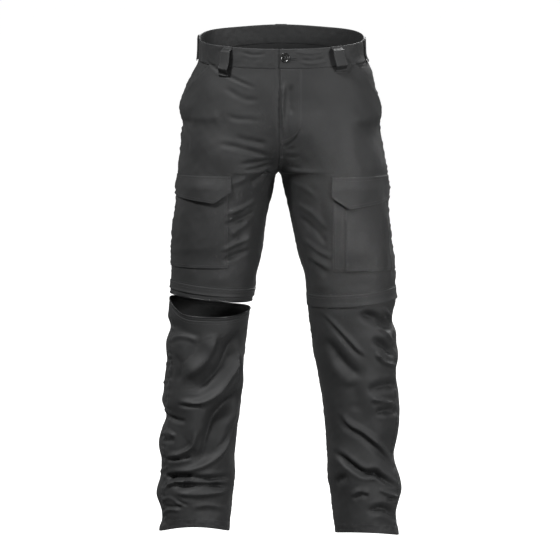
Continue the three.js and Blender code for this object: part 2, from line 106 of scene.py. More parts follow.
def mix(a: Array, b: Array, t: Array) -> Array:
    """Blend of a and b by t."""
    return a + (b - a) * t


def unit(v: Array) -> Array:
    """Vectors of length one along the last axis."""
    return v / np.maximum(np.linalg.norm(v, axis=-1, keepdims=True), 1e-9)


@dataclass(frozen=True)
class Curve:
    """A smooth curve through rows of height and value, heights falling."""

    rows: tuple[tuple[float, float], ...]

    def at(self, z: Array) -> Array:
        """Value at each height.

        Args:
            z: Heights, mm.

        Returns:
            The curve's values there.
        """
        zs, vs = np.array(self.rows, float).T
        last = len(zs) - 1
        z = np.clip(z, zs[-1], zs[0])
        i = np.clip(np.searchsorted(-zs, -z, side="right") - 1, 0, last - 1)
        low, high = np.maximum(np.arange(last + 1) - 1, 0), np.minimum(np.arange(last + 1) + 1, last)
        slope = (vs[high] - vs[low]) / (zs[high] - zs[low])
        span = zs[i + 1] - zs[i]
        t = (z - zs[i]) / span
        t2, t3 = t * t, t ** 3
        return ((2 * t3 - 3 * t2 + 1) * vs[i] + (t3 - 2 * t2 + t) * span * slope[i]
                + (3 * t2 - 2 * t3) * vs[i + 1] + (t3 - t2) * span * slope[i + 1])


@dataclass(frozen=True)
class Edge:
    """Heights of an edge at the outside, front, inside and back of a leg."""

    outer: float
    front: float
    inner: float
    back: float

    def at(self, q: Array) -> Array:
        """Height of the edge at each q.

        Args:
            q: Round the half.

        Returns:
            Heights, mm.
        """
        mid = (self.outer + self.front + self.inner + self.back) / 4
        return (mid + (self.outer - self.inner) / 2 * np.cos(np.pi * q)
                + (self.front - self.back) / 2 * np.sin(np.pi * q)
                + (self.outer + self.inner - self.front - self.back) / 4 * np.cos(2 * np.pi * q))


FRONT_DEPTH = Curve((
    (34, -100), (-17, -104), (-60, -108), (-110, -112), (-160, -114), (-210, -115), (-250, -115),
    (-278, -114), (-330, -110), (-400, -103), (-470, -96), (-535, -92), (-620, -89), (-700, -86),
    (-780, -80), (-860, -76), (-940, -74), (-1000, -73), (-1060, -74)))
BACK_DEPTH = Curve((
    (34, 104), (-17, 110), (-60, 122), (-110, 140), (-160, 149), (-210, 146), (-250, 136),
    (-278, 128), (-330, 117), (-400, 107), (-470, 99), (-535, 94), (-620, 85), (-700, 90),
    (-780, 97), (-860, 92), (-940, 84), (-1000, 80), (-1060, 78)))
SIDE_DEPTH = Curve((
    (34, 2), (-17, 3), (-60, 5), (-110, 8), (-160, 10), (-210, 10), (-250, 8), (-278, 6),
    (-330, 4), (-400, 2), (-470, 1), (-535, 0), (-620, -1), (-700, 2), (-780, 6), (-860, 7),
    (-940, 5), (-1000, 3), (-1060, 2)))
OUTER = {
    Side.RIGHT: Curve((
        (34, 173), (-43, 175.5), (-68, 188), (-94, 201), (-120, 210), (-139, 214), (-158, 212),
        (-171, 207.6), (-190, 211), (-242, 216), (-287, 220.4), (-338, 224.7), (-400, 230),
        (-467, 233), (-531, 235.4), (-582, 239.7), (-608, 233), (-633, 244), (-653, 246),
        (-678, 244), (-706, 247), (-749, 252.5), (-769, 254.7), (-800, 246), (-826, 254.7),
        (-865, 261), (-894, 256.8), (-929, 256.8), (-967, 265), (-993, 259), (-1019, 256.8),
        (-1060, 263))),
    Side.LEFT: Curve((
        (34, 175), (-17, 176), (-34, 178), (-50, 187), (-68, 194.5), (-94, 199), (-120, 207.6),
        (-158, 214), (-184, 209.7), (-235, 218), (-274, 224.7), (-338, 227), (-415, 233),
        (-454, 239.7), (-531, 244), (-556, 244), (-595, 237.5), (-621, 246), (-646, 246),
        (-672, 250), (-702, 248), (-755, 252.5), (-826, 250), (-877, 242), (-903, 246),
        (-929, 252.5), (-961, 256.8), (-987, 252.5), (-1012, 248), (-1060, 252.5))),
}
INNER = {
    Side.RIGHT: Curve((
        (-278, 5), (-287, 13), (-312, 19), (-338, 23.5), (-377, 30), (-441, 40.7), (-505, 51),
        (-571, 66), (-640, 76), (-736, 81), (-775, 85.6), (-826, 94), (-877, 101), (-929, 99),
        (-954, 100.6), (-993, 107), (-1060, 112))),
    Side.LEFT: Curve((
        (-278, -5), (-287, 1), (-312, 7), (-338, 12.8), (-364, 17), (-428, 32), (-505, 51),
        (-569, 58), (-608, 62), (-646, 69), (-698, 77), (-749, 85.6), (-800, 92), (-852, 97),
        (-929, 100.6), (-980, 108), (-1060, 118))),
}
SHORTS_HEM = Edge(-533, -544, -550, -545)
SHIN_RIM = Edge(-548, -581, -571, -565)
COVER_FOOT = Edge(-546, -559, -561, -552)
HEMS = {Side.RIGHT: Edge(-1048, -1030, -1048, -1044), Side.LEFT: Edge(-1057, -1042, -1052, -1058)}


def band_foot(q: Array) -> Array:
    """Seam between the band and the panels: low at the front, high at the back."""
    turn = np.pi / 2 * (1 + q)
    return 6.25 + 23.5 * np.cos(turn) + 2.25 * np.cos(2 * turn) - BAND_TALL


def sewn_top(q: Array) -> Array:
    """Height to which the shorts' panels reach up inside the waistband."""
    return band_foot(q) + 1.8


def rim_z(q: Array) -> Array:
    """Rim of the waist, which stands a little higher behind each side."""
    return band_foot(q) + BAND_TALL + 6 * np.exp(-((q + 0.25) / 0.3) ** 2)


def shin_rim(q: Array) -> Array:
    """Rim of the unzipped lower leg, sagging in front of its outer side."""
    return SHIN_RIM.at(q) + 3 - 11 * np.exp(-((q - 0.28) / 0.16) ** 2)


def zip_edge(side: Side) -> Edge:
    """Foot of the zip's cover on a leg."""
    return SHORTS_HEM if side is Side.RIGHT else COVER_FOOT


def side_seam(side: Side, z: Array) -> Array:
    """The outseam's q: a little in front of the outermost side, more so down the shin."""
    return 0.03 + (0.13 if side is Side.RIGHT else 0.09) * smooth(-380, -760, z)


def mouth_wide(z: Array) -> Array:
    """How far in front of the side seam the slanted hand pocket opens."""
    open_share = np.clip((np.asarray(z) - MOUTH_FOOT) / 114, 0, 1.2)
    return MOUTH_WIDE * (1 - smooth(-46, MOUTH_FOOT, z) * 0.35) * open_share


def height_at(edge: Callable[[Array], Array], q: float) -> float:
    """Height of an edge at one q, mm."""
    return float(edge(np.array(q)))


class Form:
    """The smooth worn form of both halves, measured once into tables and read by q and z."""

    STEPS = 240
    SAMPLES = 121
    HIGHEST, LOWEST, LEVEL = 44, -1090, 2.5

    # Height where each face's centre seam starts to turn in, and how late it does so.
    TURN_IN = {Face.FRONT: (-120, 3), Face.BACK: (-90, 2.6)}
    MOST_KEPT = 0.98

    def __init__(self) -> None:
        """Measures every level of both halves."""
        base = np.concatenate([np.arange(self.HIGHEST, self.LOWEST, -self.LEVEL),
                               [CROTCH, CROTCH - 0.5, CROTCH - 1.5]])
        keeps = np.linspace(0, self.MOST_KEPT, 50)
        near = [start + (CROTCH - start) * (1 - keeps ** power) ** (1 / power)
                for start, power in self.TURN_IN.values()]
        levels = np.unique(np.round(np.concatenate([base, *near]), 4))[::-1]
        self.levels = levels[np.concatenate([[True], np.diff(levels) < -0.004])]
        self._spots: dict[Side, Array] = {}
        self._long: dict[Side, Array] = {}
        for side in Side:
            back, back_long = self._measure(side, Face.BACK)
            front, front_long = self._measure(side, Face.FRONT)
            self._spots[side] = np.concatenate([back[:, :0:-1], front], axis=1)
            self._long[side] = np.stack([back_long, front_long], axis=1)

    @staticmethod
    def _keep(face: Face, z: Array) -> Array:
        """Share of the full depth that the centre seam keeps, 1 at the waist, 0 at the crotch.

        Args:
            face: Front or back.
            z: Heights, mm.

        Returns:
            Shares from 0 to 1.
        """
        start, power = Form.TURN_IN[face]
        t = np.clip((start - z) / (start - CROTCH), 0, 1)
        return np.where(z > CROTCH, np.maximum(1 - t ** power, 0) ** (1 / power), 0)

    def _measure(self, side: Side, face: Face) -> tuple[Array, Array]:
        """Evenly spaced spots along one face at every level.

        Args:
            side: Which half.
            face: Front or back.

        Returns:
            Spots (levels, steps + 1, u and y) from the outermost side inward, and arc lengths.
        """
        z = self.levels[:, None]
        depth = (FRONT_DEPTH if face is Face.FRONT else BACK_DEPTH).at(z)
        side_y, outer = SIDE_DEPTH.at(z), OUTER[side].at(z)
        seam = -5 * smooth(-150, CROTCH, z) * side.value
        inner = np.where(z > CROTCH, seam, INNER[side].at(z))
        mid = (outer + inner) / 2
        apex = np.where(z > CROTCH, mix(seam, mid, smooth(-40, CROTCH, z)), mid)
        power = mix(2.3, 2.0, smooth(0, -300, z))
        mid_y = 14 * smooth(-200, CROTCH, z) - 12 * smooth(-300, -600, z)
        turn = np.linspace(0, 1, self.SAMPLES)[None, :] * np.pi / 2
        u_out = apex + (outer - apex) * np.maximum(np.cos(turn), 0) ** (2 / power)
        y_out = side_y + (depth - side_y) * np.sin(turn) ** (2 / power)
        v = np.linspace(0, 1, self.SAMPLES)[None, 1:]
        keep = self._keep(face, z)
        blend = smooth(0.4, 0.97, keep)
        low = np.arcsin(np.minimum(keep, self.MOST_KEPT))
        turn = np.pi / 2 - v * (np.pi / 2 - low)
        across = mix(np.cos(turn) / np.cos(low), v, blend)
        level = mix(np.sin(turn), keep + (1 - keep) * (0.5 + 0.5 * np.cos(np.pi * v)), blend)
        u = np.concatenate([u_out, apex + (inner - apex) * across], axis=1)
        y = np.concatenate([y_out, mid_y + (depth - mid_y) * level], axis=1)
        arc = np.cumsum(np.hypot(np.diff(u, axis=1), np.diff(y, axis=1)), axis=1)
        arc = np.concatenate([np.zeros((len(z), 1)), arc], axis=1)
        even = np.linspace(0, 1, self.STEPS + 1)
        spots = np.empty((len(z), self.STEPS + 1, 2))
        for row in range(len(z)):
            want = even * arc[row, -1]
            spots[row, :, 0] = np.interp(want, arc[row], u[row])
            spots[row, :, 1] = np.interp(want, arc[row], y[row])
        return spots, arc[:, -1]

    def _row(self, z: Array) -> tuple[Array, Array]:
        """Level just above each height, and how far it is to the next one."""
        i = np.clip(np.searchsorted(-self.levels, -z, side="right") - 1, 0, len(self.levels) - 2)
        return i, np.clip((self.levels[i] - z) / (self.levels[i] - self.levels[i + 1]), 0, 1)

    def reach(self, side: Side, q: Array, z: Array) -> Array:
        """Length of cloth from the outermost side to the inner end, on the face of q.

        Args:
            side: Which half.
            q: Round the half. Only its sign counts.
            z: Heights, mm.

        Returns:
            Lengths, mm.
        """
        q, z = np.broadcast_arrays(np.asarray(q, float), np.asarray(z, float))
        i, t = self._row(z)
        face = (q >= 0).astype(int)
        return mix(self._long[side][i, face], self._long[side][i + 1, face], t)

    def spot(self, side: Side, q: Array, z: Array) -> Array:
        """Points of the smooth form in the half's own frame, mm.

        Args:
            side: Which half.
            q: Round the half.
            z: Heights, mm.

        Returns:
            Points, u, y and z along the last axis.
        """
        q, z = np.broadcast_arrays(np.asarray(q, float), np.asarray(z, float))
        i, t = self._row(z)
        x = (q + 1) * self.STEPS
        col = np.clip(np.floor(x).astype(int), 0, 2 * self.STEPS - 1)
        s = (x - col)[..., None]
        table, t = self._spots[side], t[..., None]
        high = mix(table[i, col], table[i, col + 1], s)
        low = mix(table[i + 1, col], table[i + 1, col + 1], s)
        return np.concatenate([mix(high, low, t), z[..., None]], axis=-1)

    def outward(self, side: Side, q: Array, z: Array) -> Array:
        """Outward directions of the smooth form, in the half's own frame.

        Args:
            side: Which half.
            q: Round the half.
            z: Heights, mm.

        Returns:
            Unit vectors, level with the centre plane at a half's inner ends.
        """
        q, z = np.broadcast_arrays(np.asarray(q, float), np.asarray(z, float))
        step = 3 / self.reach(side, q, z)
        at = np.clip(q, -1 + step, 1 - step)
        rise = np.where(z > CROTCH, np.clip((z - CROTCH) * 0.8, 0.05, 3), 3)
        up = self.spot(side, at, z + rise) - self.spot(side, at, z - rise)
        on = self.spot(side, at + step, z) - self.spot(side, at - step, z)
        n = unit(np.cross(up, on))
        end = smooth(0, 1, (np.abs(q) - 1 + 2 * step) / (1.7 * step))
        n[..., 0] = np.where(z > CROTCH, n[..., 0] * (1 - end), n[..., 0])
        n[..., 1] = np.where(z <= CROTCH, n[..., 1] * (1 - end), n[..., 1])
        under = smooth(9, 3, np.abs(z - CROTCH)) * smooth(0, 1, (np.abs(q) - 1 + 3 * step) / (2.5 * step))
        return unit(mix(unit(n), unit(np.array([-1.0, 0, -0.7])), under[..., None]))

    def q_at(self, side: Side, face: Face, u: Array, z: Array) -> Array:
        """The q at which a face is seen at a given u, found by halving.

        Args:
            side: Which half.
            face: Front or back.
            u: Outward from the centre, mm.
            z: Heights, mm.

        Returns:
            The q of each spot.
        """
        u, z = np.broadcast_arrays(np.asarray(u, float), np.asarray(z, float))
        low, high = np.zeros(u.shape), np.ones(u.shape)
        for _ in range(22):
            half = (low + high) / 2
            out = self.spot(side, face.value * half, z)[..., 0] > u
            low, high = np.where(out, half, low), np.where(out, high, half)
        return face.value * low

    def lay_seen(self, side: Side, face: Face, u: Array, z: Array) -> tuple[Array, Array]:
        """Where on the form a spot lies that the camera sees at u and z.

        Args:
            side: Which half.
            face: Front spots are looked down on by the camera, back ones are given as they are.
            u: Outward from the centre, mm.
            z: Height as seen, mm.

        Returns:
            q and the true height.
        """
        true = np.asarray(z, float)
        if face is Face.FRONT:
            for _ in range(2):
                y = self.spot(side, self.q_at(side, face, u, true), true)[..., 1]
                true = z + np.abs(y) * (EYE_HEIGHT - z) / EYE_FAR
        return self.q_at(side, face, u, true), true


@dataclass(frozen=True)
class Waves:
    """Seeded unevenness: a sum of plane waves between two wavelengths, about one high."""

    seed: int
    short: float
    long: float
    count: int = 26

    def at(self, points: Array) -> Array:
        """Unevenness at each point, mm in and about -1.5 to 1.5 out.

        Args:
            points: Points, mm.

        Returns:
            About -1.5 to 1.5 at each point.
        """
        rng = np.random.default_rng(self.seed)
        ways = unit(rng.normal(size=(self.count, 3)))
        lengths = np.exp(rng.uniform(math.log(self.short), math.log(self.long), self.count))
        phase = rng.uniform(0, 2 * np.pi, self.count)
        total = np.zeros(points.shape[:-1])
        for way, size, start in zip(ways, lengths, phase):
            total += np.sin(points @ way * (2 * np.pi / size) + start)
        return total / math.sqrt(self.count / 2)


@dataclass(frozen=True)
class Fold:
    """One listed crease: points where the camera sees it, pixels of its 560 px frame."""

    side: Side
    face: Face
    kind: Kind
    deep: float
    wide: float
    path: tuple[tuple[float, float], ...]
    free: bool = False

    def section(self, s: Array) -> Array:
        """Rise across the fold at s widths from its line, for a depth of one.

        Args:
            s: Widths away from its line, signed.

        Returns:
            Rise at each s.
        """
        far = np.abs(s)
        core = np.exp(-1.1 * far ** 1.7)
        rim = np.exp(-((far - 2.0) / 0.9) ** 2)
        if self.kind is Kind.TROUGH:
            return -core + 0.17 * rim
        if self.kind is Kind.RIDGE:
            return core - 0.16 * rim
        return np.tanh(1.8 * s) * np.exp(-(s / 2.3) ** 2) * np.where(s > 0, 1, 0.8)


R, L, F, B = Side.RIGHT, Side.LEFT, Face.FRONT, Face.BACK
DIP, CREST, LIP = Kind.TROUGH, Kind.RIDGE, Kind.LIP
FOLDS: tuple[Fold, ...] = (
    # Front of the right lower leg.
    Fold(R, F, DIP, 8.0, 16, ((241, 326), (232, 350), (220, 371), (202, 387), (184, 392))),
    Fold(R, F, LIP, 5.0, 11, ((184, 383), (200, 372), (214, 353), (220, 330))),
    Fold(R, F, CREST, 4.0, 6, ((241, 343), (233, 373), (218, 393), (200, 403), (176, 400))),
    Fold(R, F, DIP, 2.6, 4, ((178, 405), (190, 406), (206, 405))),
    Fold(R, F, DIP, 9.6, 16, ((243, 386), (229, 405), (216, 418), (209, 436), (203, 456), (185, 461))),
    Fold(R, F, CREST, 3.4, 4.5, ((198, 429), (191, 449), (183.5, 453.5), (165, 456))),
    Fold(R, F, DIP, 2.4, 3.5, ((166, 460), (180, 460), (192, 457))),
    Fold(R, F, CREST, 4.0, 6, ((235, 420), (227, 443), (215, 459), (193, 470), (169, 473))),
    Fold(R, F, DIP, 6.5, 5.5, ((163.5, 479), (176, 477), (194, 477))),
    Fold(R, F, DIP, 4.5, 6, ((186, 478), (212, 480), (233, 477))),
    Fold(R, F, CREST, 2.8, 3.2, ((163.5, 492), (169, 486), (183.5, 482), (196.5, 480.5))),
    Fold(R, F, DIP, 6.5, 5.5, ((171, 487), (198, 486.5), (231, 486.5))),
    Fold(R, F, CREST, 3.0, 5, ((172, 494), (205, 495), (232, 491))),
    Fold(R, F, CREST, 1.2, 3.4, ((163, 366), (168, 363), (174, 362))),
    Fold(R, F, CREST, 1.2, 3.4, ((162, 384), (167, 381), (173, 381))),
    Fold(R, F, CREST, 1.3, 3.4, ((161, 412), (167, 411), (174, 413))),
    Fold(R, F, CREST, 2.6, 3.4, ((160, 436), (167, 432), (177, 437))),
    Fold(R, F, CREST, 1.3, 3.4, ((159, 474), (163, 471), (169, 467))),
    Fold(R, F, CREST, 1.3, 3.4, ((159, 505), (168, 499), (178, 503), (186, 508))),
    Fold(R, F, CREST, 2.0, 3.6, ((161, 517), (169, 511), (181, 511))),
    Fold(R, F, DIP, 1.5, 4, ((160, 505), (172, 508), (186, 507))),
    Fold(R, F, DIP, 1.7, 3, ((176, 500), (183, 504), (190, 506))),
    Fold(R, F, CREST, 2.2, 5, ((168.6, 340.7), (182, 336), (192, 338), (200, 342.5))),
    Fold(R, F, DIP, 2.6, 4.5, ((167, 414), (177, 420), (188, 422))),
    Fold(R, F, CREST, 1.6, 4, ((164, 434), (174, 436))),
    Fold(R, F, DIP, 2.2, 4, ((161, 441), (176, 441))),
    Fold(R, F, DIP, 2.0, 6, ((236, 350), (240, 372), (237, 392))),
    Fold(R, F, DIP, 1.6, 7, ((176, 352), (182, 366), (178, 384))),
    Fold(R, F, CREST, 1.8, 6, ((190, 509), (210, 506), (228, 510))),
    # Front of the left lower leg.
    Fold(L, F, LIP, 2.8, 3.6, ((319, 311), (333.6, 326.4), (348, 342), (359, 353.6), (368, 358))),
    Fold(L, F, DIP, 4.8, 12, ((323.6, 338), (332, 349), (341, 362), (352, 372), (365, 378.6))),
    Fold(L, F, CREST, 3.2, 3.8, ((373.6, 326), (382, 331), (393.6, 342))),
    Fold(L, F, CREST, 3.0, 3.8, ((379, 305), (386, 312), (391, 319))),
    Fold(L, F, DIP, 5.4, 10, ((357, 311), (375, 319), (395, 331))),
    Fold(L, F, CREST, 3.4, 4, ((373.6, 352), (382, 361), (395, 366))),
    Fold(L, F, DIP, 5.2, 8, ((370, 338), (384, 347), (396, 355))),
    Fold(L, F, DIP, 4.4, 9, ((365, 391), (380, 387), (397, 384))),
    Fold(L, F, CREST, 3.0, 4.5, ((369, 399), (382, 401), (393.6, 403.6))),
    Fold(L, F, DIP, 4.0, 7, ((374, 413), (386, 411), (398, 411))),
    Fold(L, F, LIP, 4.0, 5, ((337, 411), (348, 426), (360.7, 434), (372, 443), (380.7, 451),
                             (388, 461), (392, 470))),
    Fold(L, F, DIP, 6.6, 6, ((330.7, 450), (340.7, 457), (350.7, 465.7), (365, 474), (375, 473.6),
                             (382, 478.6), (392, 487), (399, 490))),
    Fold(L, F, DIP, 2.6, 4, ((362, 473), (380, 477), (398, 489))),
    Fold(L, F, CREST, 2.4, 4, ((378, 490), (389, 495), (399, 498))),
    Fold(L, F, DIP, 2.6, 8, ((333.6, 484), (341, 480), (348, 477))),
    Fold(L, F, LIP, 2.4, 4, ((350.7, 498.6), (359, 493.6), (369, 495.7))),
    Fold(L, F, DIP, 4.8, 7.5, ((365, 513), (383.6, 510), (395, 518.6))),
    Fold(L, F, DIP, 2.6, 4, ((386, 500), (399, 500))),
    Fold(L, F, DIP, 1.8, 15, ((349, 380), (356, 398), (354, 414))),
    # Hips, crotch and thighs in front.
    Fold(R, F, DIP, 2.2, 4.5, ((226, 115), (235, 119), (248, 120), (264, 122))),
    Fold(R, F, DIP, 2.0, 5, ((224, 87), (234, 94), (246, 100), (262, 101))),
    Fold(R, F, CREST, 3.2, 15, ((190, 120), (204, 120), (224, 118))),
    Fold(L, F, CREST, 3.2, 15, ((347, 119), (361, 121), (374, 122))),
    Fold(R, F, DIP, 3.0, 5, ((234, 137), (252, 142), (270, 145))),
    Fold(R, F, DIP, 3.4, 5, ((217, 144), (234, 147), (252, 152), (274, 158))),
    Fold(R, F, DIP, 3.2, 5, ((238, 165), (256, 163), (276, 160))),
    Fold(R, F, DIP, 3.4, 5, ((243, 171), (262, 168), (275, 164))),
    Fold(R, F, DIP, 4.2, 7, ((250, 184), (259, 179), (270, 171))),
    Fold(R, F, CREST, 2.2, 6, ((230, 186), (239, 182), (248, 177))),
    Fold(R, F, CREST, 1.8, 7, ((231, 236), (240, 229), (250, 221))),
    Fold(R, F, DIP, 2.0, 12, ((236, 204), (240, 226), (236, 262))),
    Fold(L, F, DIP, 1.8, 4, ((283, 149), (290, 150), (298, 148))),
    Fold(L, F, DIP, 1.8, 4, ((284, 156), (291, 158), (299, 157))),
    Fold(L, F, DIP, 1.6, 4, ((283, 163), (291, 167), (300, 169))),
    Fold(L, F, LIP, 2.2, 6, ((306, 256), (319, 265), (330, 272))),
    Fold(L, F, CREST, 2.2, 6, ((383, 212), (386, 250), (389, 286))),
    Fold(L, F, DIP, 1.8, 13, ((318, 196), (322, 224), (316, 252))),
    Fold(R, F, DIP, 2.2, 5, ((184, 122), (190, 137), (190, 153))),
    # Creases on the band, the fly and the pocket's edge, where other folds are held flat.
    Fold(R, F, DIP, 3.0, 2.7, ((205, 59), (219, 71), (233, 79), (246, 85), (259, 90)), True),
    Fold(R, F, DIP, 2.2, 2.8, ((278, 62), (279, 90), (279, 120), (279, 146)), True),
    Fold(L, F, CREST, 4.6, 4.2, ((287, 80), (283.5, 90), (282.5, 102), (283, 120), (284, 138)), True),
    Fold(L, F, DIP, 3.4, 6, ((291, 84), (289, 100), (291, 117)), True),
    Fold(L, F, DIP, 2.6, 2.4, ((281, 147), (287, 146), (292, 142), (297, 136)), True),
    Fold(L, F, DIP, 1.8, 2.6, ((366, 67), (357, 66), (350, 68), (345, 75)), True),
    Fold(L, F, DIP, 1.2, 3, ((298, 61), (310, 62), (326, 59)), True),
    Fold(L, F, CREST, 1.0, 3, ((301, 64), (314, 65), (328, 62)), True),
    Fold(L, F, DIP, 1.2, 2.6, ((291, 49), (306, 51), (323, 49)), True),
    Fold(L, F, CREST, 1.0, 2.4, ((293, 53), (308, 55), (325, 53)), True),
    Fold(R, F, DIP, 0.9, 3, ((238, 52), (252, 56), (269, 55)), True),
    # Drag lines of both thighs in front.
    Fold(R, F, CREST, 2.2, 5, ((224, 215), (240, 210), (259, 200))),
    Fold(R, F, DIP, 2.2, 5, ((224, 225), (241, 220), (257, 211))),
    Fold(R, F, CREST, 2.0, 5, ((220, 252), (236, 244), (253, 236))),
    Fold(R, F, DIP, 2.0, 5, ((222, 262), (237, 255), (252, 248))),
    Fold(L, F, CREST, 1.5, 6, ((296, 203), (312, 214), (328, 233))),
    Fold(L, F, DIP, 1.4, 6, ((298, 216), (313, 229), (327, 246))),
    Fold(L, F, CREST, 1.5, 5, ((301, 236), (316, 249), (332, 259))),
    Fold(L, F, CREST, 1.2, 5, ((291, 182), (304, 188), (318, 199))),
    # Back of both legs, and the seat.
    Fold(R, B, DIP, 3.0, 14, ((252, 182), (230, 200), (202, 206))),
    Fold(R, B, DIP, 4.5, 11, ((174, 337), (202, 354), (237, 358))),
    Fold(R, B, DIP, 5.0, 11, ((171, 389), (204, 377), (235, 382))),
    Fold(R, B, DIP, 4.5, 10, ((169, 445), (197, 430), (231, 416))),
    Fold(R, B, DIP, 5.0, 8, ((166, 483), (192, 485), (228, 477))),
    Fold(R, B, CREST, 2.8, 6, ((178, 345), (205, 363), (232, 368))),
    Fold(R, B, DIP, 3.2, 8, ((240, 330), (215, 338), (190, 333))),
    Fold(R, B, LIP, 3.4, 6, ((172, 402), (196, 398), (216, 405))),
    Fold(R, B, DIP, 3.6, 7, ((229, 438), (205, 447), (184, 452))),
    Fold(R, B, LIP, 2.8, 5, ((166, 460), (190, 465), (214, 458))),
    Fold(R, B, DIP, 3.2, 6, ((166, 501), (192, 497), (226, 504))),
    Fold(R, B, CREST, 2.2, 6, ((233, 398), (215, 405), (198, 401))),
    Fold(L, B, DIP, 3.0, 14, ((307, 185), (332, 196), (358, 211))),
    Fold(L, B, DIP, 4.5, 11, ((390, 341), (356, 362), (320, 355))),
    Fold(L, B, DIP, 5.0, 11, ((393, 389), (363, 384), (328, 397))),
    Fold(L, B, DIP, 4.5, 10, ((391, 437), (360, 448), (331, 437))),
    Fold(L, B, DIP, 5.0, 8, ((395, 486), (365, 477), (335, 492))),
    Fold(L, B, CREST, 2.8, 6, ((387, 352), (352, 372), (323, 366))),
    Fold(L, B, DIP, 3.2, 8, ((321, 332), (346, 340), (373, 334))),
    Fold(L, B, LIP, 3.4, 6, ((391, 404), (368, 400), (347, 406))),
    Fold(L, B, DIP, 3.6, 7, ((333, 452), (358, 462), (379, 458))),
    Fold(L, B, LIP, 2.8, 5, ((394, 466), (372, 470), (349, 464))),
    Fold(L, B, DIP, 3.2, 6, ((339, 506), (366, 501), (394, 507))),
    Fold(R, B, DIP, 1.8, 10, ((264, 138), (242, 150), (214, 152))),
    Fold(L, B, DIP, 1.8, 10, ((298, 143), (322, 153), (350, 150))),
    Fold(R, B, DIP, 2.8, 8, ((262, 197), (238, 215), (212, 222))),
    Fold(L, B, DIP, 2.8, 8, ((300, 200), (324, 217), (352, 224))),
    Fold(R, B, DIP, 1.8, 10, ((246, 240), (224, 247), (196, 243))),
    Fold(L, B, DIP, 1.8, 10, ((312, 241), (338, 253), (368, 247))),
    Fold(R, B, CREST, 1.8, 9, ((258, 104), (240, 118), (222, 124))),
    Fold(L, B, CREST, 1.8, 9, ((303, 106), (324, 117), (340, 126))),
)


@dataclass
class Crease:
    """A listed fold, laid on the form. Its seed starts its small unevenness."""

    fold: Fold
    form: Form
    seed: int

    def __post_init__(self) -> None:
        """Lays the fold's points on the form and joins them smoothly."""
        fold, form = self.fold, self.form
        points = np.array(fold.path, float)
        u = (points[:, 0] - MIDDLE_PX) * PIXEL * fold.side.value
        z = (WAIST_PX - points[:, 1]) * PIXEL
        marks = np.concatenate([[0], np.cumsum(np.hypot(np.diff(u), np.diff(z)))])
        at = np.linspace(0, marks[-1], 40)
        u, z = self._through(marks, u, at), self._through(marks, z, at)
        q, z = form.lay_seen(fold.side, fold.face, u, z)
        spots = form.spot(fold.side, q, z)
        rng = np.random.default_rng(self.seed)
        t = at / at[-1]
        phases = rng.uniform(0, 2 * np.pi, 3)
        self.swell = 1 + 0.16 * np.sin(9 * t + phases[0]) + 0.1 * np.sin(17 * t + phases[1])
        fade = 0.2 if marks[-1] < 60 else 0.26
        self.ends = smooth(0, fade, t) * smooth(0, fade, 1 - t)
        self.path = spots
        ways = np.gradient(spots, axis=0)
        self.across = unit(np.cross(form.outward(fold.side, q, z), ways)) * fold.side.value

    @staticmethod
    def _through(marks: Array, values: Array, at: Array) -> Array:
        """Smooth values through the marks, by the slopes of neighbours.

        Args:
            marks: Lengths along the path at the laid points.
            values: Values at the laid points.
            at: Lengths to read at.

        Returns:
            Values at those lengths.
        """
        if len(marks) > 2:
            slope = np.gradient(values, marks)
        else:
            slope = np.full(2, np.diff(values) / np.diff(marks))
        i = np.clip(np.searchsorted(marks, at, side="right") - 1, 0, len(marks) - 2)
        span = marks[i + 1] - marks[i]
        t = (at - marks[i]) / span
        t2, t3 = t * t, t ** 3
        return ((2 * t3 - 3 * t2 + 1) * values[i] + (t3 - 2 * t2 + t) * span * slope[i]
                + (3 * t2 - 2 * t3) * values[i + 1] + (t3 - t2) * span * slope[i + 1])

    def rise(self, points: Array) -> Array:
        """Rise of the cloth at points of the smooth form, mm.

        Args:
            points: Points of the smooth form, mm.

        Returns:
            Rise at each point.
        """
        flat = points.reshape(-1, 3)
        low, high = self.path.min(0) - 4 * self.fold.wide, self.path.max(0) + 4 * self.fold.wide
        near = np.nonzero(((flat > low) & (flat < high)).all(1))[0]
        total = np.zeros(len(flat))
        if len(near):
            gaps = flat[near][:, None, :] - self.path[None]
            best = np.linalg.norm(gaps, axis=2).argmin(1)
            gap = gaps[np.arange(len(near)), best]
            away = (gap * self.across[best]).sum(1)
            length = np.linalg.norm(gap, axis=1)
            s = np.where(away < 0, -1, 1) * length / self.fold.wide
            if self.fold.kind is LIP:
                s = away / self.fold.wide
                s = np.where(length > 3.2 * self.fold.wide, 9, s)
            total[near] = self.fold.deep * self.fold.section(s) * self.ends[best] * self.swell[best]
        return total.reshape(points.shape[:-1])


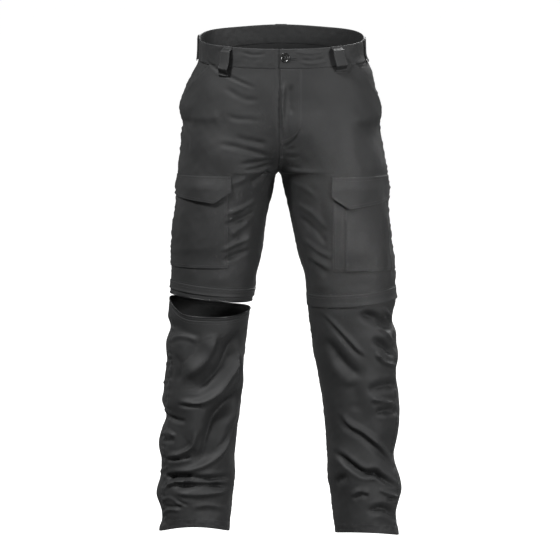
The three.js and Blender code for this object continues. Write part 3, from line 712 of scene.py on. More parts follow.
@dataclass
class Cloth:
    """The draped cloth: the form with its folds, puckers and unevenness."""

    form: Form

    PUCKER = 0.9

    def __post_init__(self) -> None:
        """Lays every fold on the form."""
        self.creases = [Crease(fold, self.form, 100 + i) for i, fold in enumerate(FOLDS)]
        self.soft = Waves(11, 55, 130)
        self.fine = Waves(23, 16, 42, 34)
        self.along = Waves(37, 9, 24, 30)

    def freedom(self, side: Side, q: Array, z: Array) -> Array:
        """How far folds may rise: none where a seam or zip holds the cloth flat.

        Args:
            side: Which half.
            q: Round the half.
            z: Heights, mm.

        Returns:
            Shares from 0, held flat, to 1, free.
        """
        top = zip_edge(side).at(q) + COVER_TALL
        foot = shin_rim(q) - 22 if side is Side.RIGHT else COVER_FOOT.at(q) - 3
        band = smooth(0, 25, band_foot(q) - z)
        middle = (top + foot) / 2
        held = np.where(z > middle, smooth(2, 22, z - top), smooth(2, 20, foot - z))
        hem = smooth(4, 26, z - HEMS[side].at(q))
        inner = (1 - np.abs(q)) * self.form.reach(side, q, z)
        return band * held * hem * np.where(z > CROTCH - 10, smooth(2, 20, inner), 1)

    def rise(self, side: Side, q: Array, z: Array, p: Array) -> Array:
        """Rise of the cloth off the smooth form, mm.

        Args:
            side: Which half.
            q: Round the half.
            z: Heights, mm.
            p: The form's points there.

        Returns:
            The rise at each point.
        """
        loose, bound = np.zeros(q.shape), np.zeros(q.shape)
        for crease in self.creases:
            if crease.fold.side is side:
                if crease.fold.free:
                    bound += crease.rise(p)
                else:
                    loose += crease.rise(p)
        world = p * np.array([side.value, 1, 1])
        soft = 1.2 * self.soft.at(world) + 0.16 * self.fine.at(world)
        free = self.freedom(side, q, z)
        seam = np.abs(q - side_seam(side, z)) * self.form.reach(side, q, z)
        inner = (1 - np.abs(q)) * self.form.reach(side, q, z)
        at_side = np.exp(-seam / 9) * smooth(-40, -120, z) * mix(1, 1.6, smooth(-520, -620, z))
        near = at_side + 0.35 * np.exp(-inner / 8)
        pucker = self.PUCKER * near * self.along.at(world * np.array([0.35, 0.35, 1]))
        hem = np.exp(-np.abs(z - HEMS[side].at(q) - 9) / 9) * 0.5 * self.along.at(world)
        shallow = free * (1 - 0.5 * smooth(-250, -60, z))
        strength = mix(1.8, 0.8, smooth(-420, -250, z))
        return strength * loose * free + bound + soft * shallow + pucker * (0.25 + 0.75 * free) + hem

    def mouth_rise(self, side: Side, q: Array, z: Array) -> Array:
        """Rise of the front panel beside the slanted pocket's mouth.

        Args:
            side: Which half.
            q: Round the half.
            z: Heights, mm.

        Returns:
            Rise, mm.
        """
        off = (q - side_seam(side, z)) * self.form.reach(side, q, z) - mouth_wide(z)
        rise = 2.6 * smooth(-48, -90, z) * smooth(MOUTH_FOOT, -120, z) * smooth(34, 0, np.abs(off))
        return np.where((q < 0) | (z < MOUTH_FOOT), 0, rise)

    def lay(self, side: Side, q: Array, z: Array, mouth: bool = False) -> "Laid":
        """Lays a net of q and z on the cloth, once for all its layers.

        Args:
            side: Which half.
            q: Round the half.
            z: Heights, mm.
            mouth: Whether the net is the front panel with its pocket mouth.

        Returns:
            The laid net, which gives points at any lift.
        """
        q, z = np.broadcast_arrays(np.asarray(q, float), np.asarray(z, float))
        p, n = self.form.spot(side, q, z), self.form.outward(side, q, z)
        rise = self.rise(side, q, z, p)
        if mouth:
            rise = rise + self.mouth_rise(side, q, z)
        turn = np.array([side.value, 1, 1])
        return Laid(p * turn, n * turn, rise)


@dataclass(frozen=True)
class Laid:
    """A net laid on the cloth: form points, directions and rise, in the object's frame."""

    p: Array
    n: Array
    rise: Array

    def at(self, lift: Array) -> Array:
        """Points lifted off the cloth's outer face, metres."""
        return (self.p + self.n * (self.rise + lift)[..., None]) * MM


def edged(count: int, length: float, roll: float = 1.4) -> Array:
    """Steps from 0 to 1 with close ones near both ends, to round an edge.

    Args:
        count: Steps between.
        length: The way's length, mm.
        roll: How far in the rounding reaches, mm.

    Returns:
        Rising steps.
    """
    ends = np.array([0, 0.1, 0.35, 0.7]) * roll / length
    return np.concatenate([ends, np.linspace(roll, length - roll, count) / length, 1 - ends[::-1]])


def rolled(distance: Array, roll: float = 1.4) -> Array:
    """Drop of a rounded edge, 1 at the edge and 0 past the roll."""
    t = np.clip(distance / roll, 0, 1)
    return 1 - np.sqrt(np.clip(1 - (1 - t) ** 2, 0, 1))


class Mesher:
    """Makes shells and dresses them with maps and attributes."""

    @staticmethod
    def faces(rows: int, cols: int, ring: bool, base: int = 0) -> Array:
        """Quads of one net of points.

        Args:
            rows: Rows of the net.
            cols: Columns of the net.
            ring: Whether the last column joins the first.
            base: Number of the net's first point.

        Returns:
            Four corners each.
        """
        i = np.arange(cols if ring else cols - 1)
        j = np.arange(rows - 1)[:, None]
        a = base + j * cols + i
        b = base + j * cols + (i + 1) % cols
        return np.stack([a, b, b + cols, a + cols], axis=-1).reshape(-1, 4)

    @staticmethod
    def facing_out(points: Array, faces: Array, centre: Array | float = 0.0) -> Array:
        """Quads turned round together where they would point towards a centre.

        Args:
            points: Metres.
            faces: Four corners each.
            centre: What they have to point away from.

        Returns:
            The quads, each with its corners in the outward order.
        """
        a, b, c, d = (points[faces[:, n]] for n in range(4))
        outward = float((np.cross(c - a, d - b) * (a + b + c + d - 4 * centre)).sum())
        return faces[:, ::-1] if outward < 0 else faces

    @classmethod
    def shell(cls, name: str, outer: Array, inner: Array, uv: Array, wear_and_highlight: Array,
              ring: bool = False) -> bpy.types.Object:
        """A closed shell of two nets joined round their rims.

        Args:
            name: The piece's name.
            outer: Outer net, rows by columns, metres.
            inner: Inner net.
            uv: Cloth coordinates of each net point, metres.
            wear_and_highlight: How much each point is paled, 0 to 1: worn near edges, with a painted
                highlight on fold crests.
            ring: Whether the columns close on themselves.

        Returns:
            The new object.
        """
        rows, cols = outer.shape[:2]
        size = rows * cols
        quads = [cls.faces(rows, cols, ring), cls.faces(rows, cols, ring, size)[:, ::-1]]
        i = np.arange(cols if ring else cols - 1)
        k = (i + 1) % cols
        last = (rows - 1) * cols
        quads.append(np.stack([i + size, k + size, k, i], axis=-1))
        quads.append(np.stack([i + last, k + last, k + last + size, i + last + size], axis=-1))
        if not ring:
            j = np.arange(rows - 1) * cols
            quads.append(np.stack([j, j + cols, j + cols + size, j + size], axis=-1))
            j = j + cols - 1
            quads.append(np.stack([j + size, j + cols + size, j + cols, j], axis=-1))
        points = np.concatenate([outer.reshape(-1, 3), inner.reshape(-1, 3)])
        faces = cls.facing_out(points, np.concatenate(quads))
        maps = np.concatenate([uv.reshape(-1, 2)] * 2)
        # Wear and painted highlight; the inner net gets three tenths of it.
        wear_and_highlight_mask = wear_and_highlight.reshape(-1)
        return cls.make(name, points, faces, maps, np.concatenate([wear_and_highlight_mask, wear_and_highlight_mask * 0.3]))

    @staticmethod
    def make(name: str, points: Array, faces: Array, maps: Array, wear_and_highlight: Array) -> bpy.types.Object:
        """An object from points and quads, with its cloth map, its wear and its painted highlight.

        Args:
            name: The piece's name.
            points: Metres.
            faces: Four corners each.
            maps: Cloth coordinates of each point.
            wear_and_highlight: Paling of each point, 0 to 1, from wear and a painted highlight on fold
                crests.

        Returns:
            The object, linked to the scene.
        """
        mesh = bpy.data.meshes.new(name)
        mesh.vertices.add(len(points))
        mesh.vertices.foreach_set("co", points.astype(np.float32).ravel())
        mesh.loops.add(faces.size)
        mesh.loops.foreach_set("vertex_index", faces.astype(np.int32).ravel())
        mesh.polygons.add(len(faces))
        starts = np.arange(0, faces.size, faces.shape[1], dtype=np.int32)
        mesh.polygons.foreach_set("loop_start", starts)
        mesh.update(calc_edges=True)
        mesh.validate()
        layer = mesh.uv_layers.new(name="cloth")
        layer.data.foreach_set("uv", maps[faces.ravel()].astype(np.float32).ravel())
        # Point attribute that pales the cloth's colour: wear, with a painted highlight on fold crests.
        wear_and_highlight_mask = mesh.attributes.new("wear_and_highlight", "FLOAT", "POINT")
        wear_and_highlight_mask.data.foreach_set("value", wear_and_highlight.astype(np.float32))
        mesh.polygons.foreach_set("use_smooth", np.ones(len(faces), dtype=bool))
        mesh.set_sharp_from_angle(angle=math.radians(62))
        made = bpy.data.objects.new(name, mesh)
        bpy.context.scene.collection.objects.link(made)
        return made


@dataclass(frozen=True)
class Cut:
    """The flat cut of a piece, metres."""

    wide: float
    tall: float
    area: float

    @classmethod
    def of(cls, outer: Array) -> "Cut":
        """Measures a laid net: its longest row, longest column and cloth area.

        Args:
            outer: The outer net, metres.

        Returns:
            The cut.
        """
        across = np.linalg.norm(np.diff(outer, axis=1), axis=2).sum(1).max()
        down = np.linalg.norm(np.diff(outer, axis=0), axis=2).sum(0).max()
        a, b = outer[:-1, :-1], outer[1:, 1:]
        c, d = outer[:-1, 1:], outer[1:, :-1]
        area = np.linalg.norm(np.cross(b - a, d - c), axis=2).sum() / 2
        return cls(float(across), float(down), float(np.clip(area, 0.31 * across * down, across * down)))


@dataclass
class Registry:
    """Dresses each finished piece and logs its faces and cut."""

    finishes: dict[str, bpy.types.Material]

    def add(self, piece: bpy.types.Object, finish: str, slot: str, nodes: Sequence[str] = ()) -> None:
        """Gives a piece its finish and body, and hides the solids it stands for.

        Args:
            piece: The finished object.
            finish: Name of its finish.
            slot: The record's slot for its colour; not used.
            nodes: Solids that it stands for.
        """
        piece.data.materials.clear()
        piece.data.materials.append(self.finishes[finish])
        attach(piece, "root")
        if nodes:
            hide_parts(*nodes)
        log.info("%s: %d faces, %s", piece.name, len(piece.data.polygons), finish)

    def sheet(self, piece: bpy.types.Object, cut: Cut, held: str, rests_on: Sequence[str] = ()) -> None:
        """Logs the flat cut of a piece of cloth."""
        log.info("%s: cut %.3f by %.3f m, %.4f m2", piece.name, cut.wide, cut.tall, cut.area)


@dataclass
class Sewing:
    """Rows of stitches, gathered and made as one mesh: their places, directions and sizes."""

    seats: list[Array] = field(default_factory=list)
    ways: list[Array] = field(default_factory=list)
    ups: list[Array] = field(default_factory=list)
    sizes: list[Array] = field(default_factory=list)

    SIDES = 4

    def row(self, points: Array, ups: Array, pitch: float = 4.0, long: float = 3.1,
            wide: float = 0.75, crosswise: bool = False) -> None:
        """Sews a row along points.

        Args:
            points: A fine path on the cloth, metres.
            ups: Outward directions along it.
            pitch: From stitch to stitch, mm.
            long: A stitch's length, mm.
            wide: Its width, mm.
            crosswise: Whether each one lies across the path, as zip teeth do.
        """
        arc = np.concatenate([[0], np.cumsum(np.linalg.norm(np.diff(points, axis=0), axis=1))])
        count = int(arc[-1] / (pitch * MM))
        if count < 1:
            return
        at = (np.arange(count) + 0.5) * arc[-1] / count
        half = long * MM / 2

        def read(values: Array, where: Array) -> Array:
            """Values along the path at a length."""
            return np.stack([np.interp(where, arc, values[:, n]) for n in range(3)], axis=1)

        way, up = unit(read(points, at + half) - read(points, at - half)), unit(read(ups, at))
        self.seats.append(read(points, at))
        self.ways.append(unit(np.cross(up, way)) if crosswise else way)
        self.ups.append(up)
        self.sizes.append(np.tile([long * MM, wide * MM], (count, 1)))

    def bar(self, start: Array, end: Array, up: Array, wide: float) -> None:
        """A bar tack: close stitches across the line from start to end, metres.

        Args:
            start: One end, metres.
            end: The other end.
            up: Outward direction.
            wide: Width, mm.
        """
        count = max(int(np.linalg.norm(end - start) / (0.75 * MM)), 4)
        t = (np.arange(count) + 0.5)[:, None] / count
        self.seats.append(mix(start, end, t))
        way = unit(np.cross(up, end - start) + 0.25 * (end - start))
        self.ways.append(np.tile(way, (count, 1)))
        self.ups.append(np.tile(unit(up), (count, 1)))
        self.sizes.append(np.tile([wide * MM, 0.62 * MM], (count, 1)))

    def make(self, name: str) -> bpy.types.Object:
        """Builds every gathered stitch as a small closed pod.

        Args:
            name: The piece's name.

        Returns:
            The object.
        """
        seat, way, up = (np.concatenate(x)[:, None] for x in (self.seats, self.ways, self.ups))
        size = np.concatenate(self.sizes)
        up = unit(up - way * (up * way).sum(-1, keepdims=True))
        beside = np.cross(way, up)
        along = np.array([-0.5, -0.34, 0.34, 0.5])
        girth = np.array([0.3, 1.0, 1.0, 0.3])
        sink = np.array([-0.35, 0.1, 0.1, -0.35])
        turn = np.linspace(0, 2 * np.pi, self.SIDES, endpoint=False) + np.pi / 4
        x = np.repeat(along, self.SIDES)
        side = np.outer(girth, np.cos(turn)).ravel() * 0.5
        high = (np.outer(girth, np.sin(turn)) * 0.34 + sink[:, None]).ravel()
        long, wide = size[:, :1, None], size[:, 1:, None]
        points = (seat + way * x[None, :, None] * long + beside * side[None, :, None] * wide
                  + up * high[None, :, None] * wide)
        n, s = self.SIDES, len(seat)
        k = np.arange(n)
        beyond = (k + 1) % n
        rings = [np.stack([r * n + k, r * n + beyond, (r + 1) * n + beyond, (r + 1) * n + k], axis=1)
                 for r in range(3)]
        quads = np.concatenate([*rings, [[0, 3, 2, 1], [12, 13, 14, 15]]])
        quads = Mesher.facing_out(points[0], quads, points[0].mean(0))
        faces = (quads[None] + np.arange(s)[:, None, None] * (4 * n)).reshape(-1, 4)
        flat = points.reshape(-1, 3)
        maps = np.tile(np.stack([x, side], axis=1), (s, 1)) * 0.003
        return Mesher.make(name, flat, faces, maps, np.zeros(len(flat)))


@dataclass
class Wardrobe:
    """What every piece is made with: the cloth, the books and the rows of stitches."""

    cloth: Cloth
    books: Registry
    sewing: dict[str, Sewing] = field(default_factory=dict)

    def thread(self, name: str) -> Sewing:
        """The rows of one group of stitches."""
        return self.sewing.setdefault(name, Sewing())

    def sew(self, name: str, side: Side, q: Array, z: Array, lift: float, mouth: bool = False,
            **how: float) -> None:
        """Sews a row on the cloth along q and z.

        Args:
            name: Group of stitches.
            side: Which half.
            q: Round the half.
            z: Heights, mm.
            lift: How far the row lies off the cloth, mm.
            mouth: Whether it lies on the front panel's pocket mouth.
            how: Pitch, length, width and so on of the row.
        """
        laid = self.cloth.lay(side, q, z, mouth)
        self.thread(name).row(laid.at(lift), laid.n, **how)


@dataclass
class Panel:
    """One cut panel of a leg, between the side seam and the inner end."""

    name: str
    side: Side
    face: Face
    top: Callable[[Array], Array]
    foot: Callable[[Array], Array]
    shorts: bool
    columns: int = 78
    rows: int = 150
    felled_side: bool = False
    felled_inner: bool = False
    share: float = 0.52

    # Where a felled lap and a turned up hem end, from and to, and how far they rise.
    FELL = (9.4, 7.9)
    FELL_RISE = 0.65
    HEM = (19, 17)
    HEM_RISE = 0.45

    def _inner_heights(self, form: Form, steps: Array) -> Array:
        """Heights along the inner end, evenly spaced along its curve, one at the crotch.

        Args:
            form: The smooth form.
            steps: Shares down the panel.

        Returns:
            Heights, mm.
        """
        end = np.array(float(self.face.value))
        k = np.linspace(0, 1, 700)
        above = CROTCH + (float(self.top(end)) - CROTCH) * (1 - k) ** 2.2
        below = CROTCH + (float(self.foot(end)) - CROTCH) * k ** 1.4

        def lengths(z: Array) -> Array:
            """Length along the inner end at each height."""
            spots = form.spot(self.side, np.full(z.shape, float(end)), z)
            return np.concatenate([[0], np.cumsum(np.linalg.norm(np.diff(spots, axis=0), axis=1))])

        high, low = lengths(above), lengths(below)
        part = np.clip(steps / self.share, 0, 1), np.clip((steps - self.share) / (1 - self.share), 0, 1)
        return np.where(steps <= self.share, np.interp(part[0] * high[-1], high, above),
                        np.interp(part[1] * low[-1], low, below))

    def net(self, form: Form) -> tuple[Array, Array]:
        """The panel's q and z, rows from its top down and columns from its side seam in.

        Args:
            form: The smooth form.

        Returns:
            The q and heights, mm.
        """
        sign = self.face.value
        a = edged(self.columns, 260)[None, :]
        b = edged(self.rows, 510)
        b = np.unique(np.concatenate([b, [self.share]]))[:, None] if self.shorts else b[:, None]
        q = sign * a + 0 * b
        z = np.full(q.shape, -300.0)
        inner = self._inner_heights(form, b) if self.shorts else None
        for _ in range(6):
            high, low = self.top(q), self.foot(q)
            step = b + 0 * a
            if inner is not None:
                bent = (high - np.clip(inner, low, high)) / (high - low)
                step = step + (bent - step) * a ** 1.5
            z = mix(high, low, step)
            if inner is not None:
                z[:, -1] = inner[:, 0]
            long = form.reach(self.side, sign * np.abs(q), z)
            start = side_seam(self.side, z) * sign
            if self.shorts and self.face is F:
                start = start + np.where(z > MOUTH_FOOT, mouth_wide(z) / long, 0)
            q = sign * mix(start, 1.0, a)
        return q, z

    def build(self, room: Wardrobe) -> None:
        """Makes the panel with its rolled seam edges, felled laps and hem.

        Args:
            room: What pieces are made with.
        """
        form = room.cloth.form
        q, z = self.net(form)
        long = form.reach(self.side, q, z)
        beside = np.abs(q - q[:, :1]) * long
        inner = (1 - np.abs(q)) * long
        under, over = self.top(q) - z, z - self.foot(q)
        drop = np.maximum(rolled(beside), rolled(inner))
        if not self.shorts:
            drop = np.maximum(drop, np.maximum(rolled(over, 1.8), rolled(under)))
        lift = -0.8 * WALL * drop
        if self.felled_side:
            lift = lift + self.FELL_RISE * smooth(*self.FELL, beside)
        if self.felled_inner:
            lift = lift + self.FELL_RISE * smooth(*self.FELL, inner)
        hem = np.zeros(q.shape) if self.shorts else smooth(*self.HEM, over)
        laid = room.cloth.lay(self.side, q, z, self.shorts and self.face is F)
        outer = laid.at(lift + self.HEM_RISE * hem)
        lining = laid.at(-WALL - 0.9 * hem + 0 * q)
        # Wear near seam edges and the hem, plus a painted highlight on fold crests from the fold's rise.
        wear_and_highlight = (0.75 * np.exp(-np.minimum(beside, inner) / 2.5) + 0.1 * np.clip(laid.rise, 0, 6)
                + (0 if self.shorts else 0.7 * np.exp(-over / 3)))
        uv = np.stack([q * long, z], axis=-1) * MM
        piece = Mesher.shell(self.name + "_cloth", outer, lining, uv, np.clip(wear_and_highlight, 0, 1))
        room.books.add(piece, "twill", "twill", [self.name])
        above = "waistband_" if self.shorts else "zip_tape_" if self.side is L else "zip_tape_lower_"
        room.books.sheet(piece, Cut.of(outer), "hung", [above + self.side.name.lower()])


@dataclass
class Legs:
    """Both legs: shorts, lower legs and their seams."""

    room: Wardrobe

    def build(self) -> None:
        """Makes the eight panels and sews their seams."""
        for side in Side:
            tag = side.name.lower()
            if side is R:
                foot, top = (lambda q: SHORTS_HEM.at(q) + 6), (lambda q: shin_rim(q) - 9)
            else:
                foot, top = (lambda q: COVER_FOOT.at(q) + 13), (lambda q: COVER_FOOT.at(q) + 9)
            hem = HEMS[side].at
            for face in Face:
                label = "front" if face is F else "back"
                Panel(f"{label}_{tag}", side, face, sewn_top, foot, True, rows=160,
                      felled_side=face is F, felled_inner=(side is L) == (face is F)).build(self.room)
                Panel(f"lower_{label}_{tag}", side, face, top, hem, False, rows=168,
                      felled_side=face is F, felled_inner=face is B).build(self.room)
            self._seams(side)

    def _seams(self, side: Side) -> None:
        """Sews the seams and hems of one leg.

        Args:
            side: Which half.
        """
        room, form = self.room, self.room.cloth.form
        shorts, lower = (f"stitches_{part}_{side.name.lower()}" for part in ("shorts", "lower"))
        cover, hem = zip_edge(side).at, HEMS[side].at
        rim, down, ahead = (shin_rim, 12, 0.1) if side is R else (COVER_FOOT.at, 4, 0.0)
        round_leg = np.linspace(-1, 1, 900)
        for off in (1.7, 6.8):
            for name, high, low in ((shorts, MOUTH_FOOT - 5, CROTCH - 6),
                                    (shorts, -486, height_at(cover, 0.0) + COVER_TALL),
                                    (lower, height_at(rim, ahead) - down, height_at(hem, 0.1) + 1.5)):
                z = np.linspace(high, low, 400)
                room.sew(name, side, side_seam(side, z) + off / form.reach(side, 1, z), z, ON_LAP)
            for name, high, low in ((shorts, CROTCH - 9, height_at(cover, 1.0) + COVER_TALL),
                                    (lower, height_at(rim, 1.0) - down, height_at(hem, 1.0) + 1.5)):
                z = np.linspace(high, low, 400)
                lap = ON_LAP if name == lower or side is R else ON_CLOTH
                room.sew(name, side, -1 + off / form.reach(side, -1, z), z, lap)
            room.sew(lower, side, round_leg, hem(round_leg) + 3 + 2.2 * off, 0.42)
            z = np.linspace(height_at(band_foot, 0.2) - 2, MOUTH_FOOT + 2, 300)
            q = side_seam(side, z) + (mouth_wide(z) + off) / form.reach(side, 1, z)
            room.sew(shorts, side, q, z, ON_LAP, mouth=True)
            if side is L:
                z = CROTCH + (FLY_FOOT - 2 - CROTCH) * np.linspace(1, 0.02, 300) ** 2
                room.sew(shorts, side, 1 - off / form.reach(side, 1, z), z, ON_LAP)
            else:
                z = CROTCH + (height_at(band_foot, -1.0) - 2 - CROTCH) * np.linspace(1, 0.02, 700) ** 2
                room.sew(shorts, side, -1 + off / form.reach(side, -1, z), z, ON_LAP)
        if side is R:
            for off in (2.0, 6.5):
                room.sew(lower, side, round_leg, shin_rim(round_leg) - 9 - off, ON_CLOTH)


@dataclass
class Patch:
    """A piece laid on one half between two q edges and two heights, with rounded edges."""

    name: str
    side: Side
    wide: float
    tall: float
    edge: Callable[[Array, Array], tuple[Array, Array]]
    lift: Callable[[Array, Array, Array, Array], Array]
    thick: float = 1.3
    columns: int = 40
    rows: int = 40

    def net(self) -> tuple[Array, Array, Array, Array]:
        """Shares across and down, and the q and z that they give."""
        a, f = np.meshgrid(edged(self.columns, self.wide), edged(self.rows, self.tall))
        return a, f, *self.edge(a, f)

    def build(self, room: Wardrobe, rests_on: Sequence[str], held: str = "laid") -> None:
        """Makes the patch over its solid of the same name.

        Args:
            room: What pieces are made with.
            rests_on: What it lies on or hangs from.
            held: How the cloth is held.
        """
        a, f, q, z = self.net()
        edge = np.minimum(np.minimum(a, 1 - a) * self.wide, np.minimum(f, 1 - f) * self.tall)
        drop = rolled(edge, 1.3)
        base = self.lift(a, f, q, z)
        laid = room.cloth.lay(self.side, q, z)
        outer = laid.at(base + self.thick * (1 - 0.85 * drop))
        inner = laid.at(base + 0 * q)
        # Wear near the edges, plus a painted highlight on fold crests from the fold's rise.
        wear_and_highlight = np.clip(0.8 * np.exp(-edge / 2.2) + 0.08 * np.clip(laid.rise, 0, 6), 0, 1)
        uv = np.stack([q * room.cloth.form.reach(self.side, q, z), z], axis=-1) * MM
        piece = Mesher.shell(self.name + "_cloth", outer, inner, uv, wear_and_highlight)
        room.books.add(piece, "twill", "twill", [self.name])
        room.books.sheet(piece, Cut.of(outer), held, rests_on)

    def sew(self, room: Wardrobe, thread: str, a: Array, f: Array) -> None:
        """Sews a row on the patch along shares a across and f down.

        Args:
            room: What pieces are made with.
            thread: Group of stitches.
            a: Shares across.
            f: Shares down.
        """
        q, z = self.edge(a, f)
        laid = room.cloth.lay(self.side, q, z)
        room.thread(thread).row(laid.at(self.lift(a, f, q, z) + self.thick + ON_CLOTH), laid.n)

    def tack(self, room: Wardrobe, thread: str, ends: tuple[float, float, float, float],
             more: float = ON_CLOTH, wide: float = 2.2) -> None:
        """Sews a bar tack on the patch.

        Args:
            room: What pieces are made with.
            thread: Group of stitches.
            ends: Shares across and down of its start and its end.
            more: How far it lies off the patch, mm.
            wide: Its width, mm.
        """
        a, f = np.array(ends[::2]), np.array(ends[1::2])
        q, z = self.edge(a, f)
        laid = room.cloth.lay(self.side, q, z)
        spots = laid.at(self.lift(a, f, q, z) + self.thick + more)
        room.thread(thread).bar(spots[0], spots[1], laid.n[0], wide)


@dataclass(frozen=True)
class CargoSizes:
    """Places of one cargo pocket and its flap, mm."""

    u: float
    top: float
    foot: float
    flap_u: float
    flap_top: float
    flap_foot: float
    flap_slant: float


@dataclass
class Cargo:
    """A flat patch pocket on the thigh with a doubled flap, lower corners cut off."""

    room: Wardrobe
    side: Side

    BACK = 20.0
    CHAMFER = 26.0
    CORNER = 0.17
    TACKS = ((0.02, 0.17, 0.09, 0.17), (0.91, 0.17, 0.98, 0.17))
    BARS = ((0.05, 0.84, 0.13, 0.84), (0.05, 0.855, 0.13, 0.855))
    FLAP_TALL = 55.0
    FLAP_SIDE = 32.0
    SIZES = {
        R: CargoSizes(u=112, top=-306, foot=-477, flap_u=105, flap_top=-282, flap_foot=-339,
                      flap_slant=24),
        L: CargoSizes(u=109, top=-310, foot=-484, flap_u=107, flap_top=-284, flap_foot=-352,
                      flap_slant=29),
    }

    def __post_init__(self) -> None:
        """Looks up the side's sizes and measures the pocket's width on the cloth."""
        self.size, self.tag = self.SIZES[self.side], self.side.name.lower()
        form, z = self.room.cloth.form, np.array(-400.0)
        q = form.q_at(self.side, F, self.size.u, z)
        self.wide = float(q * form.reach(self.side, 1, z)) + self.BACK

    def _pocket_edge(self, a: Array, f: Array) -> tuple[Array, Array]:
        """Net of the pocket, from its front edge to its back edge.

        Args:
            a: Shares across.
            f: Shares down.

        Returns:
            The q and heights, mm.
        """
        form = self.room.cloth.form
        z = mix(self.size.top, self.size.foot, f)
        row = z[:, :1] if z.ndim == 2 else z
        front = form.q_at(self.side, F, self.size.u, row)
        return mix(front, -self.BACK / form.reach(self.side, -1, row), a), z

    def _pocket_lift(self, a: Array, f: Array, q: Array, z: Array) -> Array:
        """Bag of the pocket, with the pleat line that the left one shows.

        Args:
            a: Shares across.
            f: Shares down.
            q: Round the half.
            z: Heights, mm.

        Returns:
            Lift, mm.
        """
        across = np.sin(np.pi * np.clip(a, 0, 1)) ** 0.7
        down = np.sin(np.pi * np.clip(f, 0, 1) * 0.94) ** 0.8
        bag = 0.45 + 3.0 * across * down
        d = a * self.wide
        if self.side is L:
            bag = bag - 1.9 * np.exp(-((d - 23) / 1.8) ** 2) + 1.1 * np.exp(-((d - 29) / 5) ** 2)
        else:
            bag = bag * mix(1, 0.3, smooth(0.3, 0.7, a))
            bag = bag + 0.9 * np.exp(-((f - 0.72 - 0.12 * a) / 0.05) ** 2) * np.sin(np.pi * a)
        return bag

    def _flap_edge(self, a: Array, f: Array) -> tuple[Array, Array]:
        """Net of the flap, its lower corners cut off at a slant.

        Args:
            a: Shares across.
            f: Shares down.

        Returns:
            The q and heights, mm.
        """
        size = self.size
        cut = self.CHAMFER * np.maximum(0, 1 - np.minimum(a, 1 - a) / self.CORNER)
        foot = size.flap_foot + cut + size.flap_slant * np.maximum(a - self.CORNER, 0)
        z = mix(size.flap_top, foot, f)
        form = self.room.cloth.form
        front = form.q_at(self.side, F, size.flap_u, z)
        return mix(front, -self.BACK / form.reach(self.side, -1, z), a), z

    def _flap_lift(self, a: Array, f: Array, q: Array, z: Array) -> Array:
        """Flap standing off towards its foot, unevenly.

        Args:
            a: Shares across.
            f: Shares down.
            q: Round the half.
            z: Heights, mm.

        Returns:
            Lift, mm.
        """
        down = (self.size.flap_top - z) / self.FLAP_TALL
        lean = 0.8 * np.sin(5.2 * a + (0.7 if self.side is R else 2.4))
        stand = mix(5.2, 2.2, smooth(0.35, 0.75, a))
        return 0.8 + stand * smooth(0, 0.55, down) + (1.2 + lean) * smooth(0.5, 1, down) * mix(1, 0.3, a)

    def build(self) -> None:
        """Makes and sews the pocket and its flap."""
        room, thread = self.room, f"stitches_pocket_{self.tag}"
        tall = self.size.top - self.size.foot
        pocket = Patch(f"cargo_pocket_{self.tag}", self.side, self.wide, tall, self._pocket_edge,
                       self._pocket_lift, columns=64, rows=70)
        pocket.build(room, [f"front_{self.tag}", f"back_{self.tag}"])
        flap = Patch(f"cargo_flap_{self.tag}", self.side, self.wide, self.FLAP_TALL,
                     self._flap_edge, self._flap_lift, thick=1.7, columns=72, rows=28)
        flap.build(room, [f"cargo_pocket_{self.tag}"])
        for off in (1.7, 6.6):
            da, df = off / self.wide, off / tall
            f = np.linspace(0.16, 1 - df, 200)
            pocket.sew(room, thread, np.full(200, da), f)
            pocket.sew(room, thread, np.full(200, 1 - da), f)
            pocket.sew(room, thread, np.linspace(da, 1 - da, 300), np.full(300, 1 - df))
            a = np.linspace(da, 1 - da, 400)
            flap.sew(room, thread, a, np.full(400, off / self.FLAP_TALL))
            flap.sew(room, thread, a, np.full(400, 1 - off / self.FLAP_TALL))
            f = np.linspace(0.05, 1 - off / self.FLAP_SIDE, 120)
            flap.sew(room, thread, np.full(120, da), f)
            flap.sew(room, thread, np.full(120, 1 - da), f)
        for ends in self.TACKS + (self.BARS if self.side is R else ()):
            pocket.tack(room, thread, ends)


@dataclass
class Ring:
    """A strip of cloth or tape all round a leg."""

    name: str
    side: Side
    top: Callable[[Array], Array]
    tall: float
    lift: Callable[[Array, Array], Array]
    thick: float
    columns: int = 190
    rows: int = 12

    def build(self, room: Wardrobe, finish: str, slot: str, rests_on: str) -> None:
        """Makes the strip over its solid of the same name.

        Args:
            room: What pieces are made with.
            finish: Its finish.
            slot: The record's slot.
            rests_on: What it is sewn to.
        """
        q, f = np.meshgrid(np.linspace(-1, 1, self.columns, endpoint=False), edged(self.rows, self.tall, 1.0))
        z = self.top(q) - f * self.tall
        drop = rolled(np.minimum(f, 1 - f) * self.tall, 1.0)
        laid = room.cloth.lay(self.side, q, z)
        base = self.lift(q, f)
        outer = laid.at(base + self.thick * (1 - 0.8 * drop))
        inner = laid.at(base + 0 * q)
        uv = np.stack([q * room.cloth.form.reach(self.side, q, z), z], axis=-1) * MM
        wear_and_highlight = 0.6 * np.exp(-np.minimum(f, 1 - f) * self.tall / 1.5)
        piece = Mesher.shell(self.name + "_strip", outer, inner, uv, wear_and_highlight, ring=True)
        room.books.add(piece, finish, slot, [self.name])
        wrapped = np.concatenate([outer, outer[:, :1]], axis=1)
        room.books.sheet(piece, Cut.of(wrapped), "hung", [rests_on])


